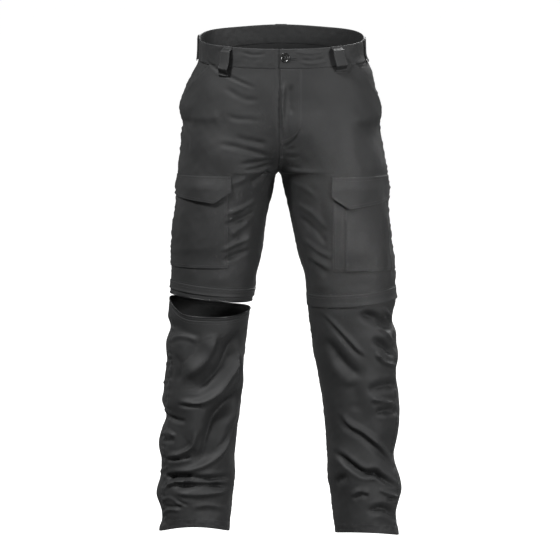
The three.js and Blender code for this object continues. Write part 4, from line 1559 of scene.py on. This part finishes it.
@dataclass
class Zips:
    """The two zips: covers, tapes and teeth. The right one is open all round."""

    room: Wardrobe

    def build(self) -> None:
        """Makes both zips."""
        room = self.room
        Ring("zip_cover_right", R, lambda q: SHORTS_HEM.at(q) + COVER_TALL, 17.5,
             lambda q, f: 0.5 + 0.9 * smooth(0.6, 1, f), 1.3).build(room, "twill", "twill", "front_right")
        Ring("zip_cover_left", L, lambda q: COVER_FOOT.at(q) + COVER_TALL, COVER_TALL,
             lambda q, f: 0.5 + (0.5 + 1.6 * smooth(0.7, 0.1, np.abs(q))) * smooth(0.55, 1, f),
             1.3).build(room, "twill", "twill", "front_left")
        Ring("zip_tape_upper_right", R, lambda q: SHORTS_HEM.at(q) + 13, 15.5,
             lambda q, f: -1.4 + 0.9 * smooth(0.2, 0.5, f),
             0.8).build(room, "twill", "zip_tape", "front_right")
        Ring("zip_tape_lower_right", R, shin_rim, 19,
             lambda q, f: -0.6 - 1.6 * smooth(0.3, 0.6, f),
             0.8).build(room, "twill", "zip_tape", "lower_front_right")
        Ring("zip_tape_left", L, lambda q: COVER_FOOT.at(q) + 25, 28,
             lambda q, f: -3.1 + 0 * q, 0.9).build(room, "tape", "zip_tape", "front_left")
        q = np.linspace(-1, 1, 1200)
        for side, edge, off, lift in ((R, SHORTS_HEM.at, -1.2, 0.6), (R, shin_rim, -1.6, 0.5),
                                      (L, COVER_FOOT.at, 10, -1.8)):
            room.sew("zip_teeth", side, q, edge(q) + off, lift,
                     pitch=1.7, long=3.6, wide=1.5, crosswise=True)
        for side in Side:
            thread, top = f"stitches_shorts_{side.name.lower()}", zip_edge(side).at(q) + COVER_TALL
            for off in (1.6, 6.2):
                room.sew(thread, side, q, top - off, 1.75)
            room.sew(thread, side, q, top + 2.5, ON_CLOTH)


@dataclass(frozen=True)
class Loop:
    """A belt loop: its sizes, mm, and its middle as seen, u, or round the half, q."""

    name: str
    side: Side
    wide: float
    stand: float
    drop: float
    u: float = 0.0
    q: float | None = None


@dataclass
class Waist:
    """Waistband halves, belt loops, fly, pocket facings and the buttonhole."""

    room: Wardrobe

    BAND_OUT = 0.8
    BAND_BACK = -1.6
    BAND_ROLL = 1.2
    FACING_UNDER = 14.0
    LOOPS = (
        Loop("front_right", R, wide=20.0, stand=12.0, drop=20.0, u=113.0),
        Loop("front_left", L, wide=24.0, stand=12.0, drop=11.0, u=119.0),
        Loop("side_right", R, wide=25.0, stand=1.2, drop=5.0, q=-0.04),
        Loop("side_left", L, wide=25.0, stand=1.2, drop=5.0, q=0.04),
        Loop("back", L, wide=25.0, stand=9.5, drop=12.0, q=-1.0),
    )

    def build(self) -> None:
        """Makes every piece of the waist."""
        for side in Side:
            self._band(side)
            self._facing(side)
        self._fly()
        for loop in self.LOOPS:
            self._loop(loop)
        self._buttonhole()

    def _ends(self, side: Side, q: Array) -> Array:
        """How far the left band's end lies over the right's, mm."""
        return 1.2 * smooth(0.9, 0.97, q) if side is L else -1.5 * smooth(0.93, 0.985, q)

    def _band(self, side: Side) -> None:
        """One doubled half of the band, a closed tube with a rounded rim.

        Args:
            side: Which half.
        """
        cloth = self.room.cloth
        tag = side.name.lower()
        long = float(cloth.form.reach(side, 1, np.array(-10.0)))
        q = np.linspace(-1, 1 + (2.4 if side is L else 9.0) / long, 230)
        tall, out, back, roll = BAND_TALL, self.BAND_OUT, self.BAND_BACK, self.BAND_ROLL
        face = np.linspace(0, tall - roll, 22)
        turn = np.linspace(0, np.pi, 9)[1:-1]
        drop = np.concatenate([tall - face, roll - roll * np.sin(turn), tall - face[:0:-1]])
        crown = 0.5 * np.sin(np.pi * np.clip(face / tall, 0, 1)) ** 0.6
        rim_lift = (out + back) / 2 + (out - back) / 2 * np.cos(turn)
        lift = np.concatenate([[out - 0.8], (out + crown)[1:], rim_lift, np.full(len(face) - 1, back)])
        qq, dd = np.meshgrid(q, drop)
        rim, foot = rim_z(np.minimum(qq, 1)), band_foot(np.minimum(qq, 1))
        z = rim - dd * (rim - foot) / tall
        extra = self._ends(side, qq)
        laid = cloth.lay(side, qq, z)
        ripple = 0.12 * cloth.fine.at(laid.p) + 0.08 * cloth.along.at(laid.p)
        at = laid.at(lift[:, None] + extra + ripple)
        points = at.reshape(-1, 3)
        faces = Mesher.facing_out(points, self._tube(len(drop), len(q)))
        around = np.concatenate([[0], np.cumsum(np.hypot(np.diff(drop), np.diff(lift)))])
        uv = np.stack([qq * long, around[:, None] + 0 * qq], axis=-1).reshape(-1, 2) * MM
        wear_and_highlight = 0.7 * np.exp(-np.minimum(dd, tall - dd) / 2).reshape(-1)
        piece = Mesher.make(f"waistband_{tag}_cloth", points, faces, uv, np.clip(wear_and_highlight, 0, 1))
        self.room.books.add(piece, "twill", "twill", [f"waistband_{tag}"])
        self.room.books.sheet(piece, Cut.of(at[:len(face)]), "hung")
        row = np.linspace(-1, 0.995, 900)
        for off in (2.2, tall - 1.8):
            sewn = cloth.lay(side, row, rim_z(row) - off * (rim_z(row) - band_foot(row)) / tall)
            crowned = 0.5 * math.sin(math.pi * min(max((tall - off) / tall, 0.02), 0.98)) ** 0.6
            stand = out + crowned + self._ends(side, row) + 0.12
            self.room.thread(f"stitches_band_{tag}").row(sewn.at(stand), sewn.n)

    @staticmethod
    def _tube(rows: int, cols: int) -> Array:
        """Quads of a net bent into a flat tube, closed along its foot and at both ends.

        Args:
            rows: Rows of the net, from the foot outside over the rim to the foot inside.
            cols: Columns, from one end to the other.

        Returns:
            Four corners each.
        """
        i = np.arange(cols - 1)
        last = (rows - 1) * cols
        foot = np.stack([i + last, i + last + 1, i + 1, i], axis=-1)
        caps = []
        for end in (0, cols - 1):
            for k in range(rows // 2 - 1):
                quad = np.array([k, k + 1, rows - 2 - k, rows - 1 - k]) * cols + end
                caps.append(quad[::-1] if end else quad)
        return np.concatenate([Mesher.faces(rows, cols, False), foot, np.array(caps)])

    def _facing(self, side: Side) -> None:
        """Facing seen in the slanted mouth of a hand pocket.

        Args:
            side: Which half.
        """
        form, tag = self.room.cloth.form, side.name.lower()

        def edge(a: Array, f: Array) -> tuple[Array, Array]:
            """Net of the facing, from the side seam to under the mouth.

            Args:
                a: Shares across.
                f: Shares down.

            Returns:
                The q and heights, mm.
            """
            q, z = np.full(a.shape, 0.1), np.full(a.shape, -60.0)
            for _ in range(4):
                z = mix(band_foot(q), MOUTH_FOOT + 3, f)
                q = side_seam(side, z) + (a * (mouth_wide(z) + self.FACING_UNDER)) / form.reach(side, 1, z)
            return q, z

        def lift(a: Array, f: Array, q: Array, z: Array) -> Array:
            """Facing dipping under the front panel.

            Args:
                a: Shares across.
                f: Shares down.
                q: Round the half.
                z: Heights, mm.

            Returns:
                Lift, mm.
            """
            wide = mouth_wide(z)
            across = a * (wide + self.FACING_UNDER) / (wide + 1)
            return -1.6 - 2.9 * np.maximum(smooth(0, 0.6, across), smooth(24, 8, wide))

        facing = Patch(f"hand_pocket_facing_{tag}", side, 80, 145, edge, lift,
                       thick=1.6, columns=30, rows=50)
        facing.build(self.room, [f"waistband_{tag}"], held="hung")

    def _fly(self) -> None:
        """Fly on the left front with its J shaped foot and two rows of stitches."""
        form = self.room.cloth.form

        def edge(a: Array, f: Array) -> tuple[Array, Array]:
            """Net of the fly, from the centre seam outward.

            Args:
                a: Shares across.
                f: Shares down.

            Returns:
                The q and heights, mm.
            """
            foot = FLY_BEND + (FLY_FOOT - FLY_BEND) * np.sqrt(np.maximum(1 - a * a, 0))
            z = mix(height_at(band_foot, 1.0), foot, f)
            return 1 - (a * FLY_WIDE - 1.5) / form.reach(L, 1, z), z

        def lift(a: Array, f: Array, q: Array, z: Array) -> Array:
            """Raised at its edge and sunk into the front panel at its outer line."""
            wave = 0.35 * np.sin(9 * f + 1) * (1 - a)
            return 0.9 * smooth(0.45, 0.0, a) - 0.9 * smooth(0.86, 0.98, a) + wave

        fly = Patch("fly", L, FLY_WIDE, 145, edge, lift, thick=1.1, columns=34, rows=60)
        fly.build(self.room, ["front_left"])
        t = np.linspace(0, 1, 300)
        straight, low = 0.55, 0.97
        for inset in (3.0, 7.5):
            turn = np.clip((t - straight) / 0.45, 0, 1) * np.pi / 2
            a = (1 - inset / FLY_WIDE) * np.cos(turn * 0.93)
            f = np.where(t < straight, t / straight * low, low - inset / 400 * np.sin(turn))
            fly.sew(self.room, "stitches_band_left", a, f)

    def _loop(self, loop: Loop) -> None:
        """A folded strip that stands off the band for a belt, tacked at both ends.

        Args:
            loop: Its place and sizes.
        """
        form, side = self.room.cloth.form, loop.side
        middle = loop.q
        if middle is None:
            middle = float(form.q_at(side, F, np.array(loop.u), np.array(-40.0)))
        seen_z = -40.0 if middle > -0.9 else 0.0
        long = float(form.reach(side, 1.0 if middle > 0 else -1.0, np.array(seen_z)))

        def edge(a: Array, f: Array) -> tuple[Array, Array]:
            """Net of the loop.

            Args:
                a: Shares across.
                f: Shares down.

            Returns:
                The q and heights, mm.
            """
            at = middle + (a - 0.5) * loop.wide / long * (-1 if loop.name == "back" else 1)
            flat = np.maximum(at, -1.0)
            return at, mix(rim_z(flat) + 0.5, band_foot(flat) - loop.drop, f)

        def lift(a: Array, f: Array, at: Array, z: Array) -> Array:
            """Loop bowed off the band, folded under at its ends.

            Args:
                a: Shares across.
                f: Shares down.
                at: Round the half.
                z: Heights, mm.

            Returns:
                Lift, mm.
            """
            bow = smooth(0.05, 0.2, f) * smooth(0.05, 0.2, 1 - f)
            fold = 0.9 * (smooth(0.16, 0.1, f) + smooth(0.16, 0.1, 1 - f))
            return self.BAND_OUT + 0.5 + loop.stand * bow + fold + 0.5 * np.sin(np.pi * a)

        tag = side.name.lower()
        strip = Patch(f"belt_loop_{loop.name}", side, loop.wide, BAND_TALL + loop.drop + 0.5, edge, lift,
                      thick=1.7, columns=14, rows=60)
        strip.build(self.room, ["waistband_" + tag], held="stretched")
        thread = f"stitches_band_{tag}"
        for off in (2.6, loop.wide - 2.6):
            strip.sew(self.room, thread, np.full(120, off / loop.wide), np.linspace(0.06, 0.94, 120))
        for share in (0.07, 0.93):
            strip.tack(self.room, thread, (0.12, share, 0.88, share), more=0.1, wide=2.6)

    def _buttonhole(self) -> None:
        """Worked buttonhole: two close rows and a bar on the left band."""
        form, thread = self.room.cloth.form, self.room.thread("buttonhole")
        for dz in (-1.5, 1.5):
            u = np.array([10.0, 34.0])
            z = np.array([-36.0, -36.0]) + dz
            q = form.q_at(L, F, u, z)
            laid = self.room.cloth.lay(L, q, z)
            ends = laid.at(self.BAND_OUT + 0.6 + self._ends(L, q))
            thread.bar(ends[0], ends[1], laid.n[0], wide=2.4)


@dataclass
class WaistButton:
    """The four hole button through the left end of the band, modelled by hand."""

    u: float = 8.6
    z: float = -33.0
    radius: float = 9.6
    thick: float = 3.2
    hole: float = 1.05
    spread: float = 2.3
    stand: float = 2.2

    def build(self, room: Wardrobe) -> None:
        """Models the button, its holes and its thread.

        Args:
            room: What pieces are made with.
        """
        bpy.ops.object.select_all(action="DESELECT")
        bpy.ops.mesh.primitive_cylinder_add(vertices=64, radius=self.radius * MM, depth=self.thick * MM)
        disc = bpy.context.object
        disc.name = "waist_button_disc"
        bpy.ops.object.mode_set(mode="EDIT")
        bpy.ops.mesh.select_mode(type="FACE")
        bpy.ops.mesh.select_all(action="DESELECT")
        bpy.ops.object.mode_set(mode="OBJECT")
        for face in disc.data.polygons:
            face.select = face.normal.z > 0.9
        bpy.ops.object.mode_set(mode="EDIT")
        bpy.ops.mesh.inset(thickness=1.5 * MM, depth=0)
        bpy.ops.mesh.inset(thickness=0.9 * MM, depth=-0.9 * MM)
        bpy.ops.mesh.inset(thickness=1.6 * MM, depth=-0.15 * MM)
        bpy.ops.object.mode_set(mode="OBJECT")
        bevel = disc.modifiers.new("edges", "BEVEL")
        bevel.width, bevel.segments = 0.55 * MM, 3
        bevel.limit_method, bevel.angle_limit = "ANGLE", math.radians(28)
        bpy.ops.object.modifier_apply(modifier="edges")
        for a, b in ((1, 1), (-1, 1), (-1, -1), (1, -1)):
            bpy.ops.object.select_all(action="DESELECT")
            bpy.ops.mesh.primitive_cylinder_add(
                vertices=20, radius=self.hole * MM, depth=8 * MM,
                location=(a * self.spread * MM, b * self.spread * MM, 0))
            drill = bpy.context.object
            bpy.ops.object.select_all(action="DESELECT")
            disc.select_set(True)
            bpy.context.view_layer.objects.active = disc
            cut = disc.modifiers.new("hole", "BOOLEAN")
            cut.operation, cut.object, cut.solver = "DIFFERENCE", drill, "EXACT"
            bpy.ops.object.modifier_apply(modifier="hole")
            bpy.data.objects.remove(drill)
        bpy.ops.object.shade_smooth_by_angle(angle=math.radians(35))
        u, z = np.array([self.u]), np.array([self.z])
        laid = room.cloth.lay(L, room.cloth.form.q_at(L, F, u, z), z)
        seat = Vector(laid.at(np.array([self.stand]))[0]) + Vector((0, -self.thick / 2 * MM, 0))
        place = (Matrix.Translation(seat) @ Matrix.Rotation(math.radians(90), 4, "X")
                 @ Matrix.Rotation(math.radians(20), 4, "Z"))
        disc.data.transform(place)
        room.books.add(disc, "horn", "button", ["waist_button"])
        self._cross(room.thread("buttonhole"), place)

    def _cross(self, thread: Sewing, place: Matrix) -> None:
        """Lays two threads from hole to hole each way across the button.

        Args:
            thread: The buttonhole's stitches, which the threads join.
            place: Where the button sits.
        """
        high = (self.thick / 2 - 0.5) * MM
        for corners in (((1, 1), (-1, -1)), ((-1, 1), (1, -1))):
            start, end = (np.array(place @ Vector((a * self.spread * MM, b * self.spread * MM, high)))
                          for a, b in corners)
            beside = np.array([[0, 0, 0], [0.0004, -0.0002, 0]])
            thread.seats.append(np.array([(start + end) / 2] * 2) + beside)
            thread.ways.append(np.array([unit(end - start)] * 2))
            thread.ups.append(np.array([[0, -1.0, 0]] * 2))
            thread.sizes.append(np.array([[np.linalg.norm(end - start) * 1.15, 0.9 * MM]] * 2))


@dataclass
class Nodes:
    """Helper that adds and joins the nodes of a tree."""

    tree: bpy.types.NodeTree

    def add(self, kind: str, links: dict | None = None, **props: object) -> bpy.types.Node:
        """Adds a node, sets its properties and joins or sets its inputs.

        Args:
            kind: Blender's name of the node.
            links: Inputs by name or number: a socket to join, or a value.
            props: Properties of the node.

        Returns:
            The node.
        """
        node = self.tree.nodes.new(kind)
        for key, value in props.items():
            setattr(node, key, value)
        for key, value in (links or {}).items():
            if isinstance(value, bpy.types.NodeSocket):
                self.tree.links.new(value, node.inputs[key])
            else:
                node.inputs[key].default_value = value
        return node

    def math(self, operation: str, a: object, b: object = 0.0, c: object = 0.0) -> bpy.types.NodeSocket:
        """A Math node's result."""
        return self.add("ShaderNodeMath", {0: a, 1: b, 2: c}, operation=operation).outputs[0]


class Effects:
    """Node groups that more than one finish uses."""

    @staticmethod
    def _group(name: str, inputs: dict[str, str], outputs: Sequence[str]) -> tuple[bpy.types.NodeTree, Nodes]:
        """A new group with named sockets.

        Args:
            name: The group's name.
            inputs: Kind of each input socket.
            outputs: Names of its outputs, all plain numbers.

        Returns:
            The group's tree, and a helper for adding its nodes.
        """
        tree = bpy.data.node_groups.new(name, "ShaderNodeTree")
        for label, kind in inputs.items():
            tree.interface.new_socket(label, in_out="INPUT", socket_type=kind)
        for label in outputs:
            tree.interface.new_socket(label, in_out="OUTPUT", socket_type="NodeSocketFloat")
        return tree, Nodes(tree)

    @classmethod
    def twill(cls) -> bpy.types.NodeTree:
        """Slanted ribs of a twill with its cross threads, from cloth coordinates.

        Returns:
            The group.
        """
        tree, n = cls._group("twill ribs", {"Vector": "NodeSocketVector", "Pitch": "NodeSocketFloat"},
                             ("Height", "Shade"))
        given = n.add("NodeGroupInput")
        split = n.add("ShaderNodeSeparateXYZ", {0: given.outputs["Vector"]})
        rate = n.math("DIVIDE", 2 * math.pi, given.outputs["Pitch"])
        slant = n.math("ADD", split.outputs["X"], n.math("MULTIPLY", split.outputs["Y"], 0.62))
        rib = n.math("SINE", n.math("MULTIPLY", slant, rate))
        yarn = n.math("SINE", n.math("MULTIPLY", n.math("SUBTRACT", split.outputs["Y"],
                                                        n.math("MULTIPLY", split.outputs["X"], 0.35)),
                                     n.math("MULTIPLY", rate, 1.7)))
        height = n.math("MULTIPLY_ADD", rib, 0.36, n.math("MULTIPLY_ADD", yarn, 0.14, 0.5))
        given_out = n.add("NodeGroupOutput")
        tree.links.new(height, given_out.inputs["Height"])
        tree.links.new(n.math("MULTIPLY_ADD", rib, 0.5, 0.5), given_out.inputs["Shade"])
        return tree

    @classmethod
    def mottle(cls) -> bpy.types.NodeTree:
        """Slow and quick unevenness of dyed cloth, from object coordinates.

        Returns:
            The group.
        """
        tree, n = cls._group("dye mottle", {"Vector": "NodeSocketVector"}, ("Slow", "Quick"))
        given = n.add("NodeGroupInput")
        slow = n.add("ShaderNodeTexNoise", {"Vector": given.outputs["Vector"], "Scale": 11.0, "Detail": 4.0,
                                            "Roughness": 0.6})
        quick = n.add("ShaderNodeTexNoise", {"Vector": given.outputs["Vector"], "Scale": 420.0, "Detail": 3.0,
                                             "Roughness": 0.7})
        out = n.add("NodeGroupOutput")
        tree.links.new(slow.outputs["Fac"], out.inputs["Slow"])
        tree.links.new(quick.outputs["Fac"], out.inputs["Quick"])
        return tree


def dyed(name: str, mottle: bpy.types.NodeTree) -> tuple[bpy.types.Material, Nodes, bpy.types.Node]:
    """Starts a material with the unevenness of its dye.

    Args:
        name: The material's name.
        mottle: Group of the dye's unevenness.

    Returns:
        The material, a helper for adding its nodes, and the dye's node.
    """
    material = bpy.data.materials.new(name)
    material.use_nodes = True
    n = Nodes(material.node_tree)
    n.tree.nodes.clear()
    place = n.add("ShaderNodeTexCoord")
    dye = n.add("ShaderNodeGroup", node_tree=mottle)
    n.tree.links.new(place.outputs["Object"], dye.inputs["Vector"])
    return material, n, dye


@dataclass(frozen=True)
class ClothFinish:
    """A dyed cloth: its colours, rib pitch in metres and how it shines."""

    name: str
    dark: tuple[float, float, float, float]
    pale: tuple[float, float, float, float]
    pitch: float
    rough: float
    sheen: float
    gloss: float
    relief: float

    def build(self, twill: bpy.types.NodeTree, mottle: bpy.types.NodeTree) -> bpy.types.Material:
        """Makes the material.

        Args:
            twill: Group of the ribs.
            mottle: Group of the dye's unevenness.

        Returns:
            The material.
        """
        material, n, dye = dyed(self.name, mottle)
        uv = n.add("ShaderNodeUVMap", uv_map="cloth")
        ribs = n.add("ShaderNodeGroup", node_tree=twill)
        n.tree.links.new(uv.outputs["UV"], ribs.inputs["Vector"])
        ribs.inputs["Pitch"].default_value = self.pitch
        # Paler where the cloth is worn near edges and seams, and on fold crests as a painted highlight.
        wear_and_highlight_mask = n.add("ShaderNodeAttribute", attribute_name="wear_and_highlight")
        shade = n.math("MULTIPLY_ADD", ribs.outputs["Shade"], 0.2,
                       n.math("MULTIPLY_ADD", dye.outputs["Slow"], 0.3,
                              n.math("MULTIPLY_ADD", dye.outputs["Quick"], 0.2, -0.12)))
        shade = n.math("MULTIPLY_ADD", wear_and_highlight_mask.outputs["Fac"], 0.34, shade)
        ramp = n.add("ShaderNodeMix", {"Factor": n.math("MINIMUM", n.math("MAXIMUM", shade, 0.0), 1.0)},
                     data_type="RGBA")
        ramp.inputs[6].default_value, ramp.inputs[7].default_value = self.dark, self.pale
        rough = n.math("MULTIPLY_ADD", dye.outputs["Quick"], 0.12, self.rough - 0.06)
        fuzz = n.math("MULTIPLY_ADD", dye.outputs["Quick"], 0.5, ribs.outputs["Height"])
        bump = n.add("ShaderNodeBump", {"Height": fuzz, "Strength": self.relief, "Distance": 0.00022})
        shader = n.add("ShaderNodeBsdfPrincipled", {"Base Color": ramp.outputs[2], "Roughness": rough,
                                                    "Normal": bump.outputs["Normal"]})
        shader.inputs["Sheen Weight"].default_value = self.sheen
        shader.inputs["Sheen Roughness"].default_value = 0.45
        shader.inputs["Sheen Tint"].default_value = (0.75, 0.78, 0.85, 1)
        shader.inputs["Specular IOR Level"].default_value = self.gloss
        n.add("ShaderNodeOutputMaterial", {"Surface": shader.outputs[0]})
        return material


@dataclass(frozen=True)
class HardFinish:
    """Moulded resin or nylon: its colour and gloss."""

    name: str
    colour: tuple[float, float, float, float]
    rough: float
    coat: float

    def build(self, mottle: bpy.types.NodeTree) -> bpy.types.Material:
        """Makes the material with a little unevenness of colour and gloss.

        Args:
            mottle: Group of the dye's unevenness.

        Returns:
            The material.
        """
        material, n, dye = dyed(self.name, mottle)
        tone = n.add("ShaderNodeMix", {"Factor": dye.outputs["Quick"]}, data_type="RGBA")
        tone.inputs[6].default_value = self.colour
        tone.inputs[7].default_value = tuple(min(c * 1.8, 1) for c in self.colour[:3]) + (1,)
        rough = n.math("MULTIPLY_ADD", dye.outputs["Quick"], 0.15, self.rough - 0.07)
        bump = n.add("ShaderNodeBump", {"Height": dye.outputs["Quick"], "Strength": 0.15, "Distance": 0.0001})
        shader = n.add("ShaderNodeBsdfPrincipled", {"Base Color": tone.outputs[2], "Roughness": rough,
                                                    "Normal": bump.outputs["Normal"]})
        shader.inputs["Coat Weight"].default_value = self.coat
        shader.inputs["Coat Roughness"].default_value = 0.15
        n.add("ShaderNodeOutputMaterial", {"Surface": shader.outputs[0]})
        return material


def make_finishes() -> dict[str, bpy.types.Material]:
    """Every finish by name.

    Returns:
        Materials by the name that pieces ask for.
    """
    twill, mottle = Effects.twill(), Effects.mottle()
    return {
        "twill": ClothFinish(
            "charcoal twill", dark=(0.0105, 0.0107, 0.0109, 1), pale=(0.031, 0.0315, 0.032, 1),
            pitch=0.0012, rough=0.66, sheen=0.0, gloss=0.3, relief=0.4).build(twill, mottle),
        "tape": ClothFinish(
            "black zip tape", dark=(0.004, 0.004, 0.0045, 1), pale=(0.012, 0.012, 0.0125, 1),
            pitch=0.0016, rough=0.7, sheen=0.01, gloss=0.15, relief=0.5).build(twill, mottle),
        "thread": ClothFinish(
            "charcoal thread", dark=(0.024, 0.0245, 0.025, 1), pale=(0.058, 0.0585, 0.06, 1),
            pitch=0.0005, rough=0.5, sheen=0.04, gloss=0.3, relief=0.3).build(twill, mottle),
        "nylon": HardFinish("black nylon", (0.006, 0.006, 0.0065, 1), rough=0.35, coat=0.05).build(mottle),
        "horn": HardFinish("black resin", (0.005, 0.005, 0.005, 1), rough=0.24, coat=0.4).build(mottle),
    }


@dataclass(frozen=True)
class Studio:
    """Camera as the photograph's, soft lights and a plain pale floor."""

    lens: float = 250.0
    sensor: float = 36.0
    far: float = 8.283
    raised: float = 5.0
    target: tuple[float, float, float] = (-0.00214, 0.0, -0.5093)
    floor_z: float = -1.16
    sky: float = 0.02

    def build(self) -> None:
        """Makes the camera, lights, world and floor."""
        scene = bpy.context.scene
        up = math.radians(self.raised)
        data = bpy.data.cameras.new("camera")
        data.lens, data.sensor_width, data.clip_end = self.lens, self.sensor, 400
        camera = bpy.data.objects.new("camera", data)
        scene.collection.objects.link(camera)
        back = Vector((0, -math.cos(up), math.sin(up)))
        camera.location = Vector(self.target) + back * self.far
        camera.rotation_euler = (-back).to_track_quat("-Z", "Y").to_euler()
        scene.camera = camera
        self._light("key", (-3.1, -4.0, 5.7), 1.4, 1340)
        self._light("fill", (4.7, -4.2, 0.5), 1.6, 500)
        self._light("front", (-1.4, -6.6, 0.0), 1.2, 44)
        self._light("top", (0.8, -0.6, 5.2), 2.0, 70)
        self._light("left_thigh", (0.1, -3.2, 0.3), 0.2, 0.3, (0.085, -0.1, -0.40), 8.5)
        self._light("back", (2.6, 5.0, 4.6), 2.0, 950)
        self._light("rim_left", (-4.4, 3.0, 0.8), 2.2, 50)
        self._light("rim_right", (4.4, 3.0, 0.8), 2.2, 50)
        self._world(scene)
        self._floor()
        scene.view_settings.view_transform = "Standard"
        scene.view_settings.gamma = 0.86

    def _light(self, name: str, place: tuple[float, float, float], size: float, power: float,
               aim: tuple[float, float, float] = (0, 0, -0.5), spread: float = 180) -> None:
        """A soft box at a place, turned to the middle of the object or to another spot.

        Args:
            name: Its name.
            place: Where it stands, metres.
            size: Side of the box, metres.
            power: Its power, watts.
            aim: The spot that it faces, metres.
            spread: How wide its light fans out, degrees.
        """
        data = bpy.data.lights.new(name, "AREA")
        data.size, data.energy, data.spread = size, power, math.radians(spread)
        lamp = bpy.data.objects.new(name, data)
        lamp.location = place
        lamp.rotation_euler = (Vector(aim) - Vector(place)).to_track_quat("-Z", "Y").to_euler()
        bpy.context.scene.collection.objects.link(lamp)

    def _world(self, scene: bpy.types.Scene) -> None:
        """White to the camera, softer as light.

        Args:
            scene: The scene to light.
        """
        world = bpy.data.worlds.new("studio")
        world.use_nodes = True
        world.node_tree.nodes.clear()
        n = Nodes(world.node_tree)
        path = n.add("ShaderNodeLightPath")
        power = n.math("MULTIPLY_ADD", path.outputs["Is Camera Ray"], 1 - self.sky, self.sky)
        sky = n.add("ShaderNodeBackground", {"Color": (1, 1, 1, 1), "Strength": power})
        n.add("ShaderNodeOutputWorld", {"Surface": sky.outputs[0]})
        scene.world = world

    def _floor(self) -> None:
        """A wide pale floor under the hems."""
        bpy.ops.object.select_all(action="DESELECT")
        bpy.ops.mesh.primitive_plane_add(size=300, location=(0, 0, self.floor_z))
        floor = bpy.context.object
        floor.name = "floor"
        material = bpy.data.materials.new("pale floor")
        material.use_nodes = True
        shader = material.node_tree.nodes["Principled BSDF"]
        shader.inputs["Base Color"].default_value = (0.16, 0.16, 0.16, 1)
        shader.inputs["Roughness"].default_value = 0.9
        shader.inputs["Specular IOR Level"].default_value = 0.0
        shader.inputs["Emission Color"].default_value = (1, 1, 1, 1)
        n = Nodes(material.node_tree)
        seen = n.math("MULTIPLY", n.add("ShaderNodeLightPath").outputs["Is Camera Ray"], 1.0)
        material.node_tree.links.new(seen, shader.inputs["Emission Strength"])
        floor.data.materials.append(material)


def main() -> None:
    """Builds the studio and the trousers, in order."""
    logging.basicConfig(level=logging.INFO, format="%(message)s")
    Studio().build()
    room = Wardrobe(Cloth(Form()), Registry(make_finishes()))
    Legs(room).build()
    for side in Side:
        Cargo(room, side).build()
    Zips(room).build()
    Waist(room).build()
    WaistButton().build(room)
    for name, sewing in room.sewing.items():
        finish, slot = ("nylon", "zip_tape") if name == "zip_teeth" else ("thread", "twill")
        room.books.add(sewing.make(name), finish, slot)


if __name__ == "__main__":
    main()
